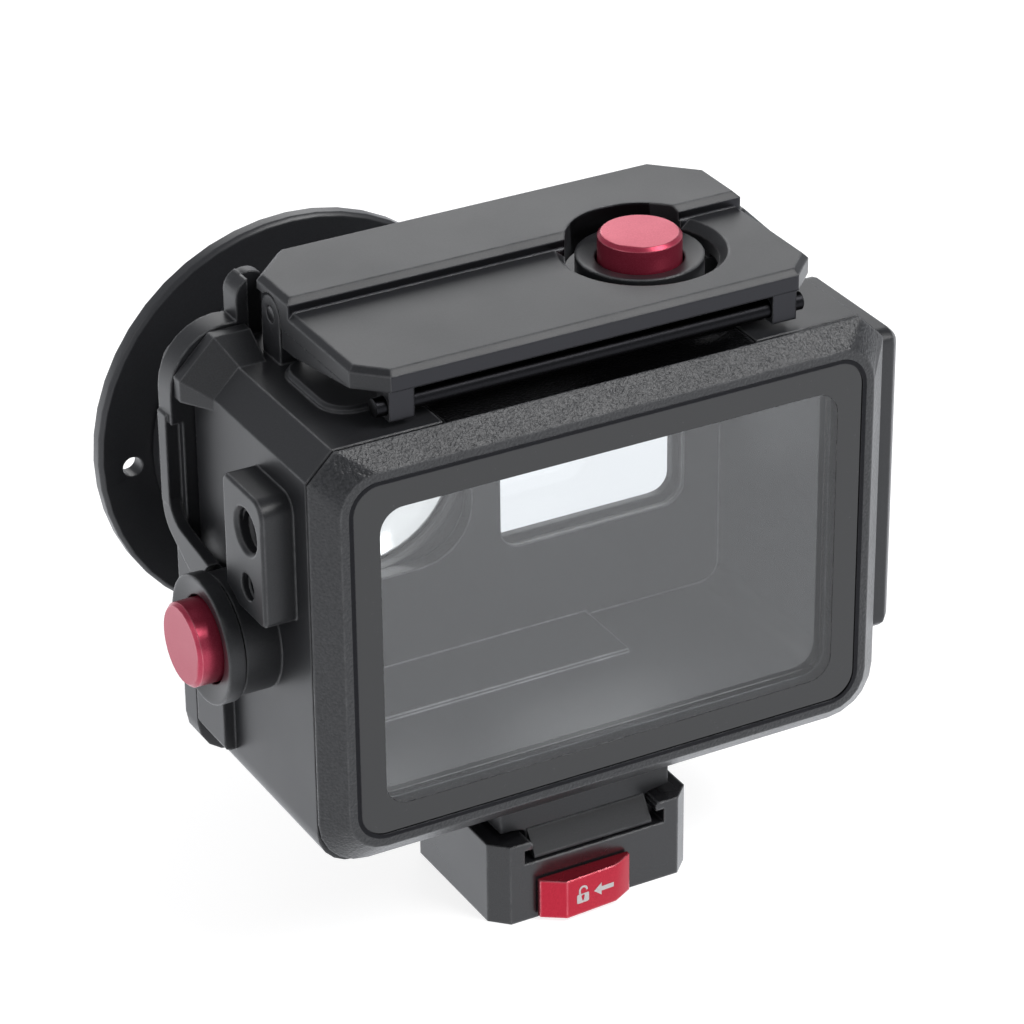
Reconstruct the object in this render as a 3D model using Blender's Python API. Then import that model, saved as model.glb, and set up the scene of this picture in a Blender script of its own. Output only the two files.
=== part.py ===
"""Action camera dive housing: an aluminium box with a glazed rear door, a latch lever,
two push buttons, a round lens port and a quick-release base.

Frame: +Z up, +X to the right seen from behind, +Y towards the lens port.
The origin is the middle of the quick-release base's underside.
"""
import math

import bmesh
import bpy
from mathutils import Vector

MM = 0.001

# Running clearance between neighbouring pieces
GAP = 0.3 * MM

# Quick-release base
BASE_WIDTH = 31.2 * MM
BASE_DEPTH = 22.2 * MM
BASE_RAIL_TOP = 12.4 * MM
BASE_FLOOR = 9.0 * MM
BASE_CORNER_CUT = 2.4 * MM
BASE_STOP_WALL = 2.1 * MM
RAIL_HOOK_HEIGHT = 1.2 * MM
RAIL_HOOK_EDGE = 0.4 * MM
MECHANISM_REAR_WALL = 3.2 * MM
MECHANISM_DEPTH = 5.0 * MM
MECHANISM_TOP = 6.6 * MM
COVER_THICKNESS = 1.4 * MM
COVER_LIP = 1.4 * MM
SOCKET_RADIUS = 2.6 * MM
SOCKET_DEPTH = 6.2 * MM
SOCKET_AHEAD = 6.0 * MM
SOCKET_SPACING = 14.0 * MM

# Foot under the housing that the base grips
FOOT_WIDTH = 26.4 * MM
FOOT_LOWER_WIDTH = 21.4 * MM
FOOT_BEHIND_REAR = 8.0 * MM
FOOT_UPPER_HEIGHT = 6.3 * MM
FOOT_GROOVE_DEPTH = 1.3 * MM

# Release slider, its carriage and the lock bolt
SLIDER_LEFT = -9.2 * MM
SLIDER_RIGHT = 4.9 * MM
SLIDER_LEFT_SLOPE = 3.1 * MM
SLIDER_RIGHT_SLOPE = 3.0 * MM
SLIDER_RIM = 0.7 * MM
SLIDER_LEFT_RISE = 2.8 * MM
SLIDER_RIGHT_RISE = 2.3 * MM
SLIDER_BOTTOM = 0.5 * MM
SLIDER_HEIGHT = 5.9 * MM
SLIDER_TRAVEL = 3.0 * MM
NECK_HEIGHT = 2.8 * MM
NECK_WIDTH = 5.0 * MM
CARRIAGE_WIDTH = 6.6 * MM
CARRIAGE_DEPTH = 4.0 * MM
CARRIAGE_HEIGHT = 3.8 * MM
LOCK_BOLT_RADIUS = 1.0 * MM
RELEASE_SPRING_RADIUS = 1.3 * MM
RELEASE_SPRING_WIRE = 0.25 * MM
RELEASE_SPRING_TURNS = 5
RELEASE_SPRING_LENGTH = 3.4 * MM

# Housing body
BODY_WIDTH = 85.8 * MM
BODY_HEIGHT = 61.2 * MM
BODY_BOTTOM = 19.7 * MM
REAR_OVERHANG = 5.3 * MM
BODY_TOP_CUT = 3.8 * MM
BODY_BOTTOM_RADIUS = 5.5 * MM
BODY_FRONT = 36.4 * MM
FRONT_WALL_INNER = 34.0 * MM
BAY_SIDE_WALL = 7.25 * MM
BAY_END_WALL = 8.1 * MM
BAY_RADIUS = 3.0 * MM
BAY_LEDGE = 0.6 * MM
BAY_LEDGE_START = 22.0 * MM
BAY_LEDGE_RIGHT = 14.0 * MM
FLARE = 2.8 * MM
FLARE_START = 29.6 * MM
FLARE_END = 34.6 * MM
PROUD_STEP = 1.7 * MM
PROUD_START = 28.0 * MM
PROUD_TOP = 2.0 * MM

# Deck and ears under the latch lever
DECK_RISE = 0.9 * MM
DECK_OVERHANG = 1.1 * MM
DECK_REAR = 11.0 * MM
DECK_FRONT = 27.4 * MM
DECK_RADIUS = 4.0 * MM
EAR_THICKNESS = 3.1 * MM
EAR_RADIUS = 2.6 * MM

# Rear door
DOOR_THICKNESS = 3.2 * MM
DOOR_BEVEL = 2.9 * MM
DOOR_RING = 1.4 * MM
DOOR_STEP_DEPTH = 2.4 * MM
DOOR_STEP_WALL = 2.0 * MM
DOOR_SWING_RELIEF = 0.6 * MM
DOOR_TOP_CUT = 4.0 * MM
DOOR_BOTTOM_RADIUS = 7.0 * MM
DOOR_FACE_RADIUS = 5.4 * MM
DOOR_SIDE_BORDER = 4.5 * MM
DOOR_END_BORDER = 4.35 * MM
GLASS_RADIUS = 4.2 * MM
GLASS_THICKNESS = 3.9 * MM
GLASS_INSET = 0.2 * MM
WINDOW_SIDE_BORDER = 3.8 * MM
WINDOW_END_BORDER = 3.95 * MM
WINDOW_RADIUS = 3.2 * MM
SEAL_WIDTH = 1.6 * MM
SEAL_HEIGHT = 1.1 * MM
SEAL_INSET = 2.5 * MM
TONGUE_WIDTH = 46.0 * MM
TONGUE_THICKNESS = 1.1 * MM
TONGUE_LIP_REAR = 8.9 * MM
TONGUE_LIP_DEPTH = 1.5 * MM
TONGUE_LIP_RISE = 0.8 * MM

# Door hinge
DOOR_HINGE_DEPTH = 5.0 * MM
DOOR_HINGE_RISE = 0.7 * MM
KNUCKLE_RADIUS = 1.5 * MM
DOOR_KNUCKLE_LENGTH = 23.4 * MM
BODY_KNUCKLE_LENGTH = 8.0 * MM
HINGE_PIN_RADIUS = 0.8 * MM
PIN_CLEARANCE = 0.05 * MM

# Latch lever
LEVER_WIDTH = 68.2 * MM
LEVER_REAR = 4.1 * MM
LEVER_STEP = 25.4 * MM
LEVER_FRONT = 40.5 * MM
LEVER_UNDERSIDE = 5.4 * MM
LEVER_THICKNESS = 3.0 * MM
LEVER_STEP_RISE = 2.0 * MM
LEVER_REAR_CUT = 4.0 * MM
LEVER_FRONT_CUT = 6.0 * MM
LEVER_CHAMFER = 0.8 * MM
LEVER_HOLE_RADIUS = 10.3 * MM
LEVER_HOLE_CHAMFER = 1.2 * MM
LEVER_HOLE_SET_BACK = 0.6 * MM
LEVER_HOLE_WALL = 3.5 * MM
LEVER_PIVOT_DEPTH = 30.6 * MM
LEVER_PIVOT_RISE = 6.3 * MM
LEVER_KNUCKLE_LENGTH = 7.0 * MM
PIVOT_PIN_RADIUS = 1.1 * MM
PIVOT_PIN_LENGTH = 9.2 * MM
LATCH_BAR_WIDTH = 53.2 * MM
LATCH_BAR_DEPTH = 1.6 * MM
LATCH_BAR_DROP = 3.2 * MM
LATCH_POST_REAR = 4.7 * MM
LATCH_POST_DEPTH = 3.4 * MM
LATCH_POST_WIDTH = 3.6 * MM
LATCH_POST_DROP = 4.4 * MM
CROSS_PIN_RADIUS = 1.3 * MM
CROSS_PIN_OVERHANG = 1.5 * MM
CROSS_PIN_DROP = 2.7 * MM

# Shutter button on top
SHUTTER_X = 15.6 * MM
SHUTTER_DEPTH = 20.7 * MM
SHUTTER_RADIUS = 5.7 * MM
SHUTTER_BOSS_RADIUS = 8.7 * MM
SHUTTER_BOSS_TOP = 7.6 * MM
SHUTTER_PROUD = 3.1 * MM

# Side button on the left
SIDE_BUTTON_DEPTH = 20.5 * MM
SIDE_BUTTON_DROP = 2.15 * MM
SIDE_BUTTON_RADIUS = 5.8 * MM
SIDE_BOSS_RADIUS = 8.9 * MM
SIDE_BOSS_THICKNESS = 2.4 * MM
SIDE_BASE_RADIUS = 8.4 * MM
SIDE_BASE_LENGTH = 5.1 * MM
SIDE_BUTTON_PROUD = 2.85 * MM
SPOT_FACE_DEPTH = 0.6 * MM

# Both buttons
BUTTON_TRAVEL = 2.0 * MM
BUTTON_CROWN = 2.2 * MM
BUTTON_CHAMFER = 0.5 * MM
DISH_RIM = 0.6 * MM
DISH_DEPTH = 0.5 * MM
SPRING_WIRE = 0.35 * MM
SPRING_TURNS = 3
SPRING_RADIUS = 3.3 * MM
STEM_RADIUS = 1.5 * MM
GLAND_RADIUS = 7.3 * MM
BUTTON_WELL = 5.2 * MM
STEM_SEAL_WIDTH = 1.0 * MM
STEM_SEAL_HEIGHT = 1.5 * MM
CLIP_THICKNESS = 0.6 * MM
CLIP_RADIUS = 2.9 * MM
CLIP_NECK = 1.1 * MM
CLIP_GAP = 0.05 * MM
STEM_TIP = 1.6 * MM

# Accessory block on the left wall
BLOCK_PROUD = 4.6 * MM
BLOCK_REAR = 7.2 * MM
BLOCK_DEPTH = 11.4 * MM
BLOCK_BOTTOM = 4.8 * MM
BLOCK_HEIGHT = 18.2 * MM
BLOCK_EDGE = 1.2 * MM
BLOCK_TOP_CORNER = 2.4 * MM
BLOCK_FACE_EDGE = 0.4 * MM
THREAD_RADIUS = 3.0 * MM
THREAD_MOUTH_RADIUS = 3.5 * MM
THREAD_DEPTH = 9.0 * MM
LOCATING_RADIUS = 1.9 * MM
LOCATING_DEPTH = 4.5 * MM
LOCATING_SPACING = 8.1 * MM
THREAD_SETBACK = 4.8 * MM
THREAD_BELOW_TOP = 5.8 * MM

# Accessory rail on the right wall
RAIL_THICKNESS = 4.1 * MM
RAIL_REAR = 5.2 * MM
RAIL_DEPTH = 21.6 * MM
RAIL_BOTTOM = -20.5 * MM
RAIL_LENGTH = 46.1 * MM
RAIL_CHAMFER = 2.0 * MM
RAIL_SCREW_SPACING = 34.0 * MM
RAIL_THREAD_SPACING = 14.0 * MM
SCREW_HEAD_RADIUS = 2.5 * MM
SCREW_HEAD_HEIGHT = 1.5 * MM
SCREW_SHANK_RADIUS = 1.25 * MM
SCREW_GRIP = 5.0 * MM
SCREW_DRIVE_RADIUS = 1.0 * MM
SCREW_DRIVE_DEPTH = 0.8 * MM

# Front plate
LENS_X = -18.0 * MM
LENS_RISE = 6.2 * MM
TUNNEL_SIZE = 28.0 * MM
TUNNEL_RADIUS = 8.0 * MM
PLATE_THICKNESS = 3.8 * MM
PLATE_CORNER_RADIUS = 8.6 * MM
PLATE_CORNER_PROUD = 3.3 * MM
PLATE_COLLAR_REACH = 26.3 * MM
PLATE_COLLAR_CORNER = 3.0 * MM
PLATE_COLLAR = 2.6 * MM
PLATE_LOBE_RADIUS = 2.8 * MM
PLATE_LOBE_DEPTH = 1.9 * MM
PLATE_LOBE_X = 33.4 * MM
PLATE_LOBE_RISE = 6.3 * MM
PLATE_SHOULDER = 1.4 * MM
RIB_PROUD = 3.7 * MM
RIB_BELOW_TOP = 8.2 * MM
RIB_BOTTOM = 8.5 * MM
RIB_EDGE = 0.5 * MM
RIB_THICKNESS = 2.3 * MM
WEB_INSET = 0.05 * MM
WEB_TOP = 12.0 * MM
WEB_OUTER_START = 8.7 * MM
WEB_OUTER_BEND = 5.0 * MM
WEB_OUTER_TURN = 60
WEB_INNER_START = 10.0 * MM
WEB_INNER_BEND = 3.8 * MM
WEB_INNER_TURN = 81
PLATE_SCREW_SIDE = 4.3 * MM
PLATE_SCREW_ABOVE_BOTTOM = 6.0 * MM
PLATE_SCREW_BELOW_TOP = 6.4 * MM

# Lens port
PORT_BORE = 14.2 * MM
PORT_SPIGOT_RADIUS = 15.3 * MM
PORT_SPIGOT = 1.1 * MM
PORT_NECK_RADIUS = 16.4 * MM
PORT_NECK_END = 44.0 * MM
PORT_CONE_END = 48.0 * MM
PORT_RADIUS = 22.6 * MM
PORT_FRONT = 56.5 * MM
PORT_WALL = 2.7 * MM
PORT_GLASS_LEDGE = 2.4 * MM
PORT_GLASS_THICKNESS = 3.0 * MM
PORT_SEAL_WIDTH = 1.5 * MM
PORT_SEAL_HEIGHT = 1.0 * MM
SPIGOT_SEAL_WIDTH = 0.9 * MM
SPIGOT_SEAL_HEIGHT = 0.7 * MM
RING_RADIUS = 30.4 * MM
RING_FRONT = 59.5 * MM
RING_EDGE = 0.5 * MM
RING_LAP = 1.6 * MM
RING_RIM = 6.75 * MM
RING_FILTER_DEPTH = 1.4 * MM
TETHER_RADIUS = 1.45 * MM
TETHER_INSET = 4.9 * MM
TETHER_DROP = 1.3 * MM

# Front screen window
SCREEN_X = 15.1 * MM
SCREEN_SIZE = 29.3 * MM
SCREEN_RADIUS = 3.2 * MM
SCREEN_LIP = 0.7 * MM
SCREEN_MARGIN = 1.75 * MM
SCREEN_GASKET = 0.5 * MM
SCREEN_GLASS_THICKNESS = 2.8 * MM
SCREEN_FRAME_WIDTH = 1.3 * MM
SCREEN_FRAME_THICKNESS = 1.4 * MM

# Facets of the round pieces
ROUND = 48
BUTTON_ROUND = 32
SMALL_ROUND = 20
SCREW_ROUND = 14
COIL_SIDES = 5
COIL_STEPS = 9

# Places worked out from the sizes above
REAR_Y = -(BASE_DEPTH / 2 + REAR_OVERHANG)
MID_Z = BODY_BOTTOM + BODY_HEIGHT / 2
BODY_TOP = BODY_BOTTOM + BODY_HEIGHT
WALL_X = BODY_WIDTH / 2
BAY_WIDTH = BODY_WIDTH - 2 * BAY_SIDE_WALL
BAY_HEIGHT = BODY_HEIGHT - 2 * BAY_END_WALL
GLASS_WIDTH = BODY_WIDTH - 2 * DOOR_SIDE_BORDER
GLASS_HEIGHT = BODY_HEIGHT - 2 * DOOR_END_BORDER
WINDOW_WIDTH = GLASS_WIDTH - 2 * WINDOW_SIDE_BORDER
WINDOW_HEIGHT = GLASS_HEIGHT - 2 * WINDOW_END_BORDER
RIB_TOP = BODY_HEIGHT / 2 - RIB_BELOW_TOP
BODY_REAR = DOOR_THICKNESS + GAP
SHOULDER = DOOR_THICKNESS + DOOR_STEP_DEPTH + GAP
STEP_HALF_X = GLASS_WIDTH / 2 + DOOR_STEP_WALL
STEP_HALF_Z = GLASS_HEIGHT / 2 + DOOR_STEP_WALL - GAP
PLATE_REAR = BODY_FRONT + GAP
PLATE_FRONT = PLATE_REAR + PLATE_THICKNESS
PORT_REAR = PLATE_FRONT + GAP
PORT_GLASS_RADIUS = PORT_RADIUS - PORT_WALL - GAP
PORT_MOUTH_RADIUS = PORT_GLASS_RADIUS - PORT_GLASS_LEDGE
RING_BORE = PORT_GLASS_RADIUS - RING_LAP
LENS_Z = MID_Z + LENS_RISE
SIDE_BUTTON_Z = MID_Z - SIDE_BUTTON_DROP
HINGE_Z = BODY_BOTTOM + DOOR_HINGE_RISE
PIVOT_Z = BODY_TOP + LEVER_PIVOT_RISE
LEVER_LOW = BODY_TOP + LEVER_UNDERSIDE
LEVER_TOP = LEVER_LOW + LEVER_THICKNESS
FOOT_TOP = BODY_BOTTOM - GAP
FOOT_BOTTOM = BASE_FLOOR + GAP
FOOT_STEP = FOOT_TOP - FOOT_UPPER_HEIGHT
FOOT_DEPTH = BASE_DEPTH - BASE_STOP_WALL - GAP - (FOOT_BEHIND_REAR - REAR_OVERHANG)
FOOT_Y = REAR_Y + FOOT_BEHIND_REAR + FOOT_DEPTH / 2
NECK_HALF = FOOT_LOWER_WIDTH / 2 - FOOT_GROOVE_DEPTH
SCREEN_SEAT_SIZE = SCREEN_SIZE + 2 * SCREEN_MARGIN
SLIDER_X = (SLIDER_LEFT + SLIDER_RIGHT) / 2
SLIDER_Z = SLIDER_BOTTOM + SLIDER_HEIGHT / 2
BASE_REAR = -BASE_DEPTH / 2
MECHANISM_Y = BASE_REAR + MECHANISM_REAR_WALL
MECHANISM_LEFT = SLIDER_X - CARRIAGE_WIDTH / 2 - SLIDER_TRAVEL - RELEASE_SPRING_LENGTH - 2 * GAP


def depth(distance):
    """Y of a plane that lies this far in front of the rear window's face."""
    return REAR_Y + distance


def material(name, colour, roughness, metallic, alpha=1.0):
    """One Principled material."""
    made = bpy.data.materials.new(name)
    made.use_nodes = True
    shader = made.node_tree.nodes["Principled BSDF"]
    shader.inputs["Base Color"].default_value = (*colour, 1.0)
    shader.inputs["Roughness"].default_value = roughness
    shader.inputs["Metallic"].default_value = metallic
    shader.inputs["Alpha"].default_value = alpha
    made.diffuse_color = (*colour, alpha)
    return made


def place(axis, u, v, level):
    """Point of an outline's (u, v) at a level along an axis."""
    if axis == "X":
        return Vector((level, u, v))
    if axis == "Y":
        return Vector((u, level, v))
    return Vector((u, v, level))


def arc(centre, radius, start, end, steps):
    """Points of an arc in degrees, both ends included."""
    points = []
    for i in range(steps + 1):
        angle = math.radians(start + (end - start) * i / steps)
        points.append((centre[0] + radius * math.cos(angle), centre[1] + radius * math.sin(angle)))
    return points


def rounded(width, height, radius, centre=(0.0, 0.0), steps=5):
    """Rounded rectangle; radius is one value or one for each corner from the bottom left."""
    radii = radius if isinstance(radius, tuple) else (radius,) * 4
    signs = ((-1, -1), (1, -1), (1, 1), (-1, 1))
    points = []
    for i, (sign_u, sign_v) in enumerate(signs):
        r = radii[i]
        corner = (centre[0] + sign_u * (width / 2 - r), centre[1] + sign_v * (height / 2 - r))
        points += arc(corner, r, 180 + 90 * i, 270 + 90 * i, steps)
    return points


def frame_outline(width, height, bottom_radius, top_cut, centre=(0.0, 0.0), steps=5):
    """Body outline: round bottom corners and 45 degree top corners, as many points as rounded()."""
    half_u, half_v = width / 2, height / 2
    points = rounded(width, height, (bottom_radius, bottom_radius, top_cut, top_cut), centre, steps)
    count = steps + 1
    for side, (u0, v0, u1, v1) in enumerate((
            (half_u, half_v - top_cut, half_u - top_cut, half_v),
            (-half_u + top_cut, half_v, -half_u, half_v - top_cut))):
        for i in range(count):
            share = i / steps
            points[(2 + side) * count + i] = (centre[0] + u0 + (u1 - u0) * share,
                                              centre[1] + v0 + (v1 - v0) * share)
    return points


def cut_rectangle(low_u, high_u, low_v, high_v, low_cut, high_cut):
    """Rectangle with 45 degree cut corners at its low-v and high-v ends."""
    return [(low_u + low_cut, low_v), (high_u - low_cut, low_v), (high_u, low_v + low_cut),
            (high_u, high_v - high_cut), (high_u - high_cut, high_v), (low_u + high_cut, high_v),
            (low_u, high_v - high_cut), (low_u, low_v + low_cut)]


def inset(points, distance):
    """Counter-clockwise outline moved inwards by a distance."""
    moved = []
    for i, point in enumerate(points):
        before = Vector(point) - Vector(points[i - 1])
        after = Vector(points[(i + 1) % len(points)]) - Vector(point)
        normal_a = Vector((-before.y, before.x)).normalized()
        normal_b = Vector((-after.y, after.x)).normalized()
        half = (normal_a + normal_b).normalized()
        scale = distance / max(half.dot(normal_a), 0.2)
        moved.append((point[0] + half.x * scale, point[1] + half.y * scale))
    return moved


def new_object(name, mesh_data, finish):
    """Closed bmesh to a named object with its material, faces turned outwards."""
    bmesh.ops.recalc_face_normals(mesh_data, faces=mesh_data.faces)
    mesh = bpy.data.meshes.new(name)
    mesh_data.to_mesh(mesh)
    mesh_data.free()
    mesh.materials.append(finish)
    made = bpy.data.objects.new(name, mesh)
    bpy.context.scene.collection.objects.link(made)
    return made


def loft(name, finish, axis, layers):
    """Solid through (level, outline) layers whose outlines have the same number of points."""
    data = bmesh.new()
    rings = [[data.verts.new(place(axis, u, v, level)) for u, v in outline]
             for level, outline in layers]
    for low, high in zip(rings, rings[1:]):
        for i in range(len(low)):
            j = (i + 1) % len(low)
            data.faces.new((low[i], low[j], high[j], high[i]))
    data.faces.new(rings[0])
    data.faces.new(rings[-1])
    return new_object(name, data, finish)


def prism(name, finish, axis, outline, low, high):
    """Straight prism of an outline."""
    return loft(name, finish, axis, [(low, outline), (high, outline)])


def block(name, finish, low, high):
    """Box between two corners."""
    outline = [(low[0], low[1]), (high[0], low[1]), (high[0], high[1]), (low[0], high[1])]
    return prism(name, finish, "Z", outline, low[2], high[2])


def revolve(name, finish, axis, centre, profile, segments=ROUND):
    """Solid of revolution from a closed (radius, level) profile about an axis through (u, v)."""
    data = bmesh.new()
    columns = []
    for i in range(segments):
        angle = 2 * math.pi * i / segments
        column = []
        for radius, level in profile:
            if radius == 0.0 and i > 0:
                column.append(columns[0][len(column)])
                continue
            u = centre[0] + radius * math.cos(angle)
            v = centre[1] + radius * math.sin(angle)
            column.append(data.verts.new(place(axis, u, v, level)))
        columns.append(column)
    for i in range(segments):
        here, there = columns[i], columns[(i + 1) % segments]
        for j in range(len(profile)):
            k = (j + 1) % len(profile)
            corners = []
            for vertex in (here[j], there[j], there[k], here[k]):
                if vertex not in corners:
                    corners.append(vertex)
            if len(corners) > 2:
                data.faces.new(corners)
    made = new_object(name, data, finish)
    smooth(made)
    return made


def rod(name, finish, axis, centre, radius, low, high, segments=SMALL_ROUND):
    """Plain cylinder along an axis."""
    profile = [(0.0, low), (radius, low), (radius, high), (0.0, high)]
    return revolve(name, finish, axis, centre, profile, segments)


def tube(name, finish, axis, centre, inner, outer, low, high, segments=ROUND):
    """Plain ring along an axis."""
    profile = [(inner, low), (outer, low), (outer, high), (inner, high)]
    return revolve(name, finish, axis, centre, profile, segments)


def coil(name, finish, axis, centre, radius, wire, turns, low, high):
    """Compression spring with its wire's ends closed."""
    data = bmesh.new()
    steps = turns * COIL_STEPS
    rise = (high - low - 2 * wire) / steps
    rings = []
    for i in range(steps + 1):
        angle = 2 * math.pi * i / COIL_STEPS
        level = low + wire + rise * i
        ring = []
        for j in range(COIL_SIDES):
            around = 2 * math.pi * j / COIL_SIDES
            reach = radius + wire * math.cos(around)
            u = centre[0] + reach * math.cos(angle)
            v = centre[1] + reach * math.sin(angle)
            ring.append(data.verts.new(place(axis, u, v, level + wire * math.sin(around))))
        rings.append(ring)
    for low_ring, high_ring in zip(rings, rings[1:]):
        for j in range(COIL_SIDES):
            k = (j + 1) % COIL_SIDES
            data.faces.new((low_ring[j], low_ring[k], high_ring[k], high_ring[j]))
    data.faces.new(rings[0])
    data.faces.new(rings[-1])
    made = new_object(name, data, finish)
    smooth(made)
    return made


def smooth(made, angle=35):
    """Shade smooth with sharp edges kept."""
    made.data.shade_smooth()
    made.data.set_sharp_from_angle(angle=math.radians(angle))


def combine(target, tool, operation, solver="EXACT"):
    """Boolean of a tool with its target; the tool becomes a hidden guide."""
    tool.hide_render = True
    tool.display_type = "WIRE"
    modifier = target.modifiers.new(tool.name, "BOOLEAN")
    modifier.operation = operation
    modifier.object = tool
    modifier.solver = solver


def cut(target, tool, solver="EXACT"):
    """Take the tool's volume out of the target."""
    combine(target, tool, "DIFFERENCE", solver)


def fuse(target, tool):
    """Join the tool's volume to the target."""
    combine(target, tool, "UNION")


def set_origin(made, point):
    """Move an object's origin to a point, leaving its shape where it is."""
    offset = Vector(point)
    for vertex in made.data.vertices:
        vertex.co -= offset
    made.location = offset


def clear_scene():
    """Remove what the scene holds."""
    for thing in list(bpy.data.objects):
        bpy.data.objects.remove(thing, do_unlink=True)


def make_finishes():
    """The finishes of the real object."""
    return {
        "black": material("black_anodised", (0.022, 0.022, 0.025), 0.42, 0.85),
        "door": material("black_blasted", (0.030, 0.030, 0.033), 0.55, 0.80),
        "red": material("red_anodised", (0.42, 0.012, 0.030), 0.30, 0.90),
        "steel": material("stainless_steel", (0.55, 0.55, 0.56), 0.30, 1.0),
        "rubber": material("black_rubber", (0.015, 0.015, 0.015), 0.80, 0.0),
        "glass": material("clear_glass", (0.80, 0.82, 0.83), 0.05, 0.0, 0.30),
    }


def body_solid(finish):
    """Outer form of the housing body: main box, flared front, proud lower front."""
    outline = frame_outline(BODY_WIDTH, BODY_HEIGHT, BODY_BOTTOM_RADIUS, BODY_TOP_CUT, (0.0, MID_Z))
    body = prism("body_shell", finish, "Y", outline, depth(BODY_REAR), depth(BODY_FRONT))

    inside = frame_outline(BODY_WIDTH - 2 * GAP, BODY_HEIGHT - 2 * GAP, BODY_BOTTOM_RADIUS, BODY_TOP_CUT,
                           (0.0, MID_Z))
    flare_height = BODY_HEIGHT + FLARE
    flared = frame_outline(BODY_WIDTH + 2 * FLARE, flare_height, BODY_BOTTOM_RADIUS,
                           BODY_TOP_CUT + FLARE / 2, (0.0, MID_Z + FLARE / 2))
    front = loft("body_flare", finish, "Y", [
        (depth(FLARE_START), inside), (depth(FLARE_END), flared), (depth(BODY_FRONT), flared)])
    below = block("body_flare_limit", finish,
                  (-2 * WALL_X, depth(FLARE_START) - GAP, 0.0),
                  (2 * WALL_X, depth(BODY_FRONT) + GAP, MID_Z + RIB_TOP + FLARE))
    middle = block("body_flare_gap", finish,
                   (-LEVER_WIDTH / 2 - DECK_OVERHANG, depth(FLARE_START) - GAP, BODY_TOP),
                   (LEVER_WIDTH / 2 + DECK_OVERHANG, depth(BODY_FRONT) + GAP, BODY_TOP + 2 * FLARE))
    cut(front, below)
    cut(front, middle)
    fuse(body, front)

    for name, side in (("left", -1), ("right", 1)):
        wall = side * (WALL_X + PROUD_STEP)
        low_x, high_x = sorted((wall, side * (WALL_X - PROUD_STEP)))
        outline = rounded(high_x - low_x, BODY_HEIGHT / 2 + PROUD_TOP - BODY_BOTTOM_RADIUS, PROUD_STEP / 2,
                          ((low_x + high_x) / 2,
                           BODY_BOTTOM + (BODY_HEIGHT / 2 + PROUD_TOP + BODY_BOTTOM_RADIUS) / 2), 2)
        fuse(body, prism("body_proud_" + name, finish, "Y", outline, depth(PROUD_START), depth(BODY_FRONT)))
    return body


def add_deck_and_ears(body, finish):
    """Raised deck under the lever and the two ears that carry its pivot pins."""
    half = LEVER_WIDTH / 2
    deck_middle = (DECK_REAR + DECK_FRONT) / 2
    deck = rounded(2 * (half + DECK_OVERHANG), DECK_FRONT - DECK_REAR, DECK_RADIUS, (0.0, depth(deck_middle)))
    fuse(body, loft("deck", finish, "Z", [
        (BODY_TOP - DECK_RISE, deck), (BODY_TOP + DECK_RISE / 2, deck),
        (BODY_TOP + DECK_RISE, inset(deck, DECK_RISE / 2))]))
    pivot = (depth(LEVER_PIVOT_DEPTH), PIVOT_Z)
    profile = [(pivot[0] - EAR_RADIUS, BODY_TOP - DECK_RISE), (pivot[0] + EAR_RADIUS, BODY_TOP - DECK_RISE)]
    profile += arc(pivot, EAR_RADIUS, 0, 180, 10)
    for name, side in (("left", -1), ("right", 1)):
        low_x, high_x = sorted((side * half, side * (half - EAR_THICKNESS)))
        fuse(body, prism("ear_" + name, finish, "X", profile, low_x, high_x))
        bore_low, bore_high = sorted((side * (half + GAP), side * (half - EAR_THICKNESS - GAP)))
        cut(body, rod("ear_bore_" + name, finish, "X", pivot, PIVOT_PIN_RADIUS + PIN_CLEARANCE,
                      bore_low, bore_high))


def add_body_hinge(body, finish):
    """Two knuckles under the body's rear edge, with room between them for the door's."""
    axis_point = (depth(DOOR_HINGE_DEPTH), HINGE_Z)
    inner = DOOR_KNUCKLE_LENGTH / 2 + GAP
    outer = inner + BODY_KNUCKLE_LENGTH
    rebate_floor = MID_Z - STEP_HALF_Z - GAP
    cut(body, block("hinge_notch", finish,
                    (-outer - GAP, depth(BODY_REAR) - GAP, BODY_BOTTOM - GAP),
                    (outer + GAP, depth(SHOULDER), rebate_floor + GAP)))
    cut(body, rod("hinge_relief", finish, "X", axis_point, KNUCKLE_RADIUS + GAP, -inner, inner))
    for name, side in (("left", -1), ("right", 1)):
        low_x, high_x = sorted((side * inner, side * outer))
        profile = arc(axis_point, KNUCKLE_RADIUS, 90, 270, 8)
        profile += [(depth(SHOULDER) + KNUCKLE_RADIUS, HINGE_Z - KNUCKLE_RADIUS),
                    (depth(SHOULDER) + KNUCKLE_RADIUS, HINGE_Z + KNUCKLE_RADIUS)]
        fuse(body, prism("body_knuckle_" + name, finish, "X", profile, low_x, high_x))
    cut(body, rod("body_knuckle_bore", finish, "X", axis_point, HINGE_PIN_RADIUS + PIN_CLEARANCE,
                  -outer - GAP, outer + GAP))


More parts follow.
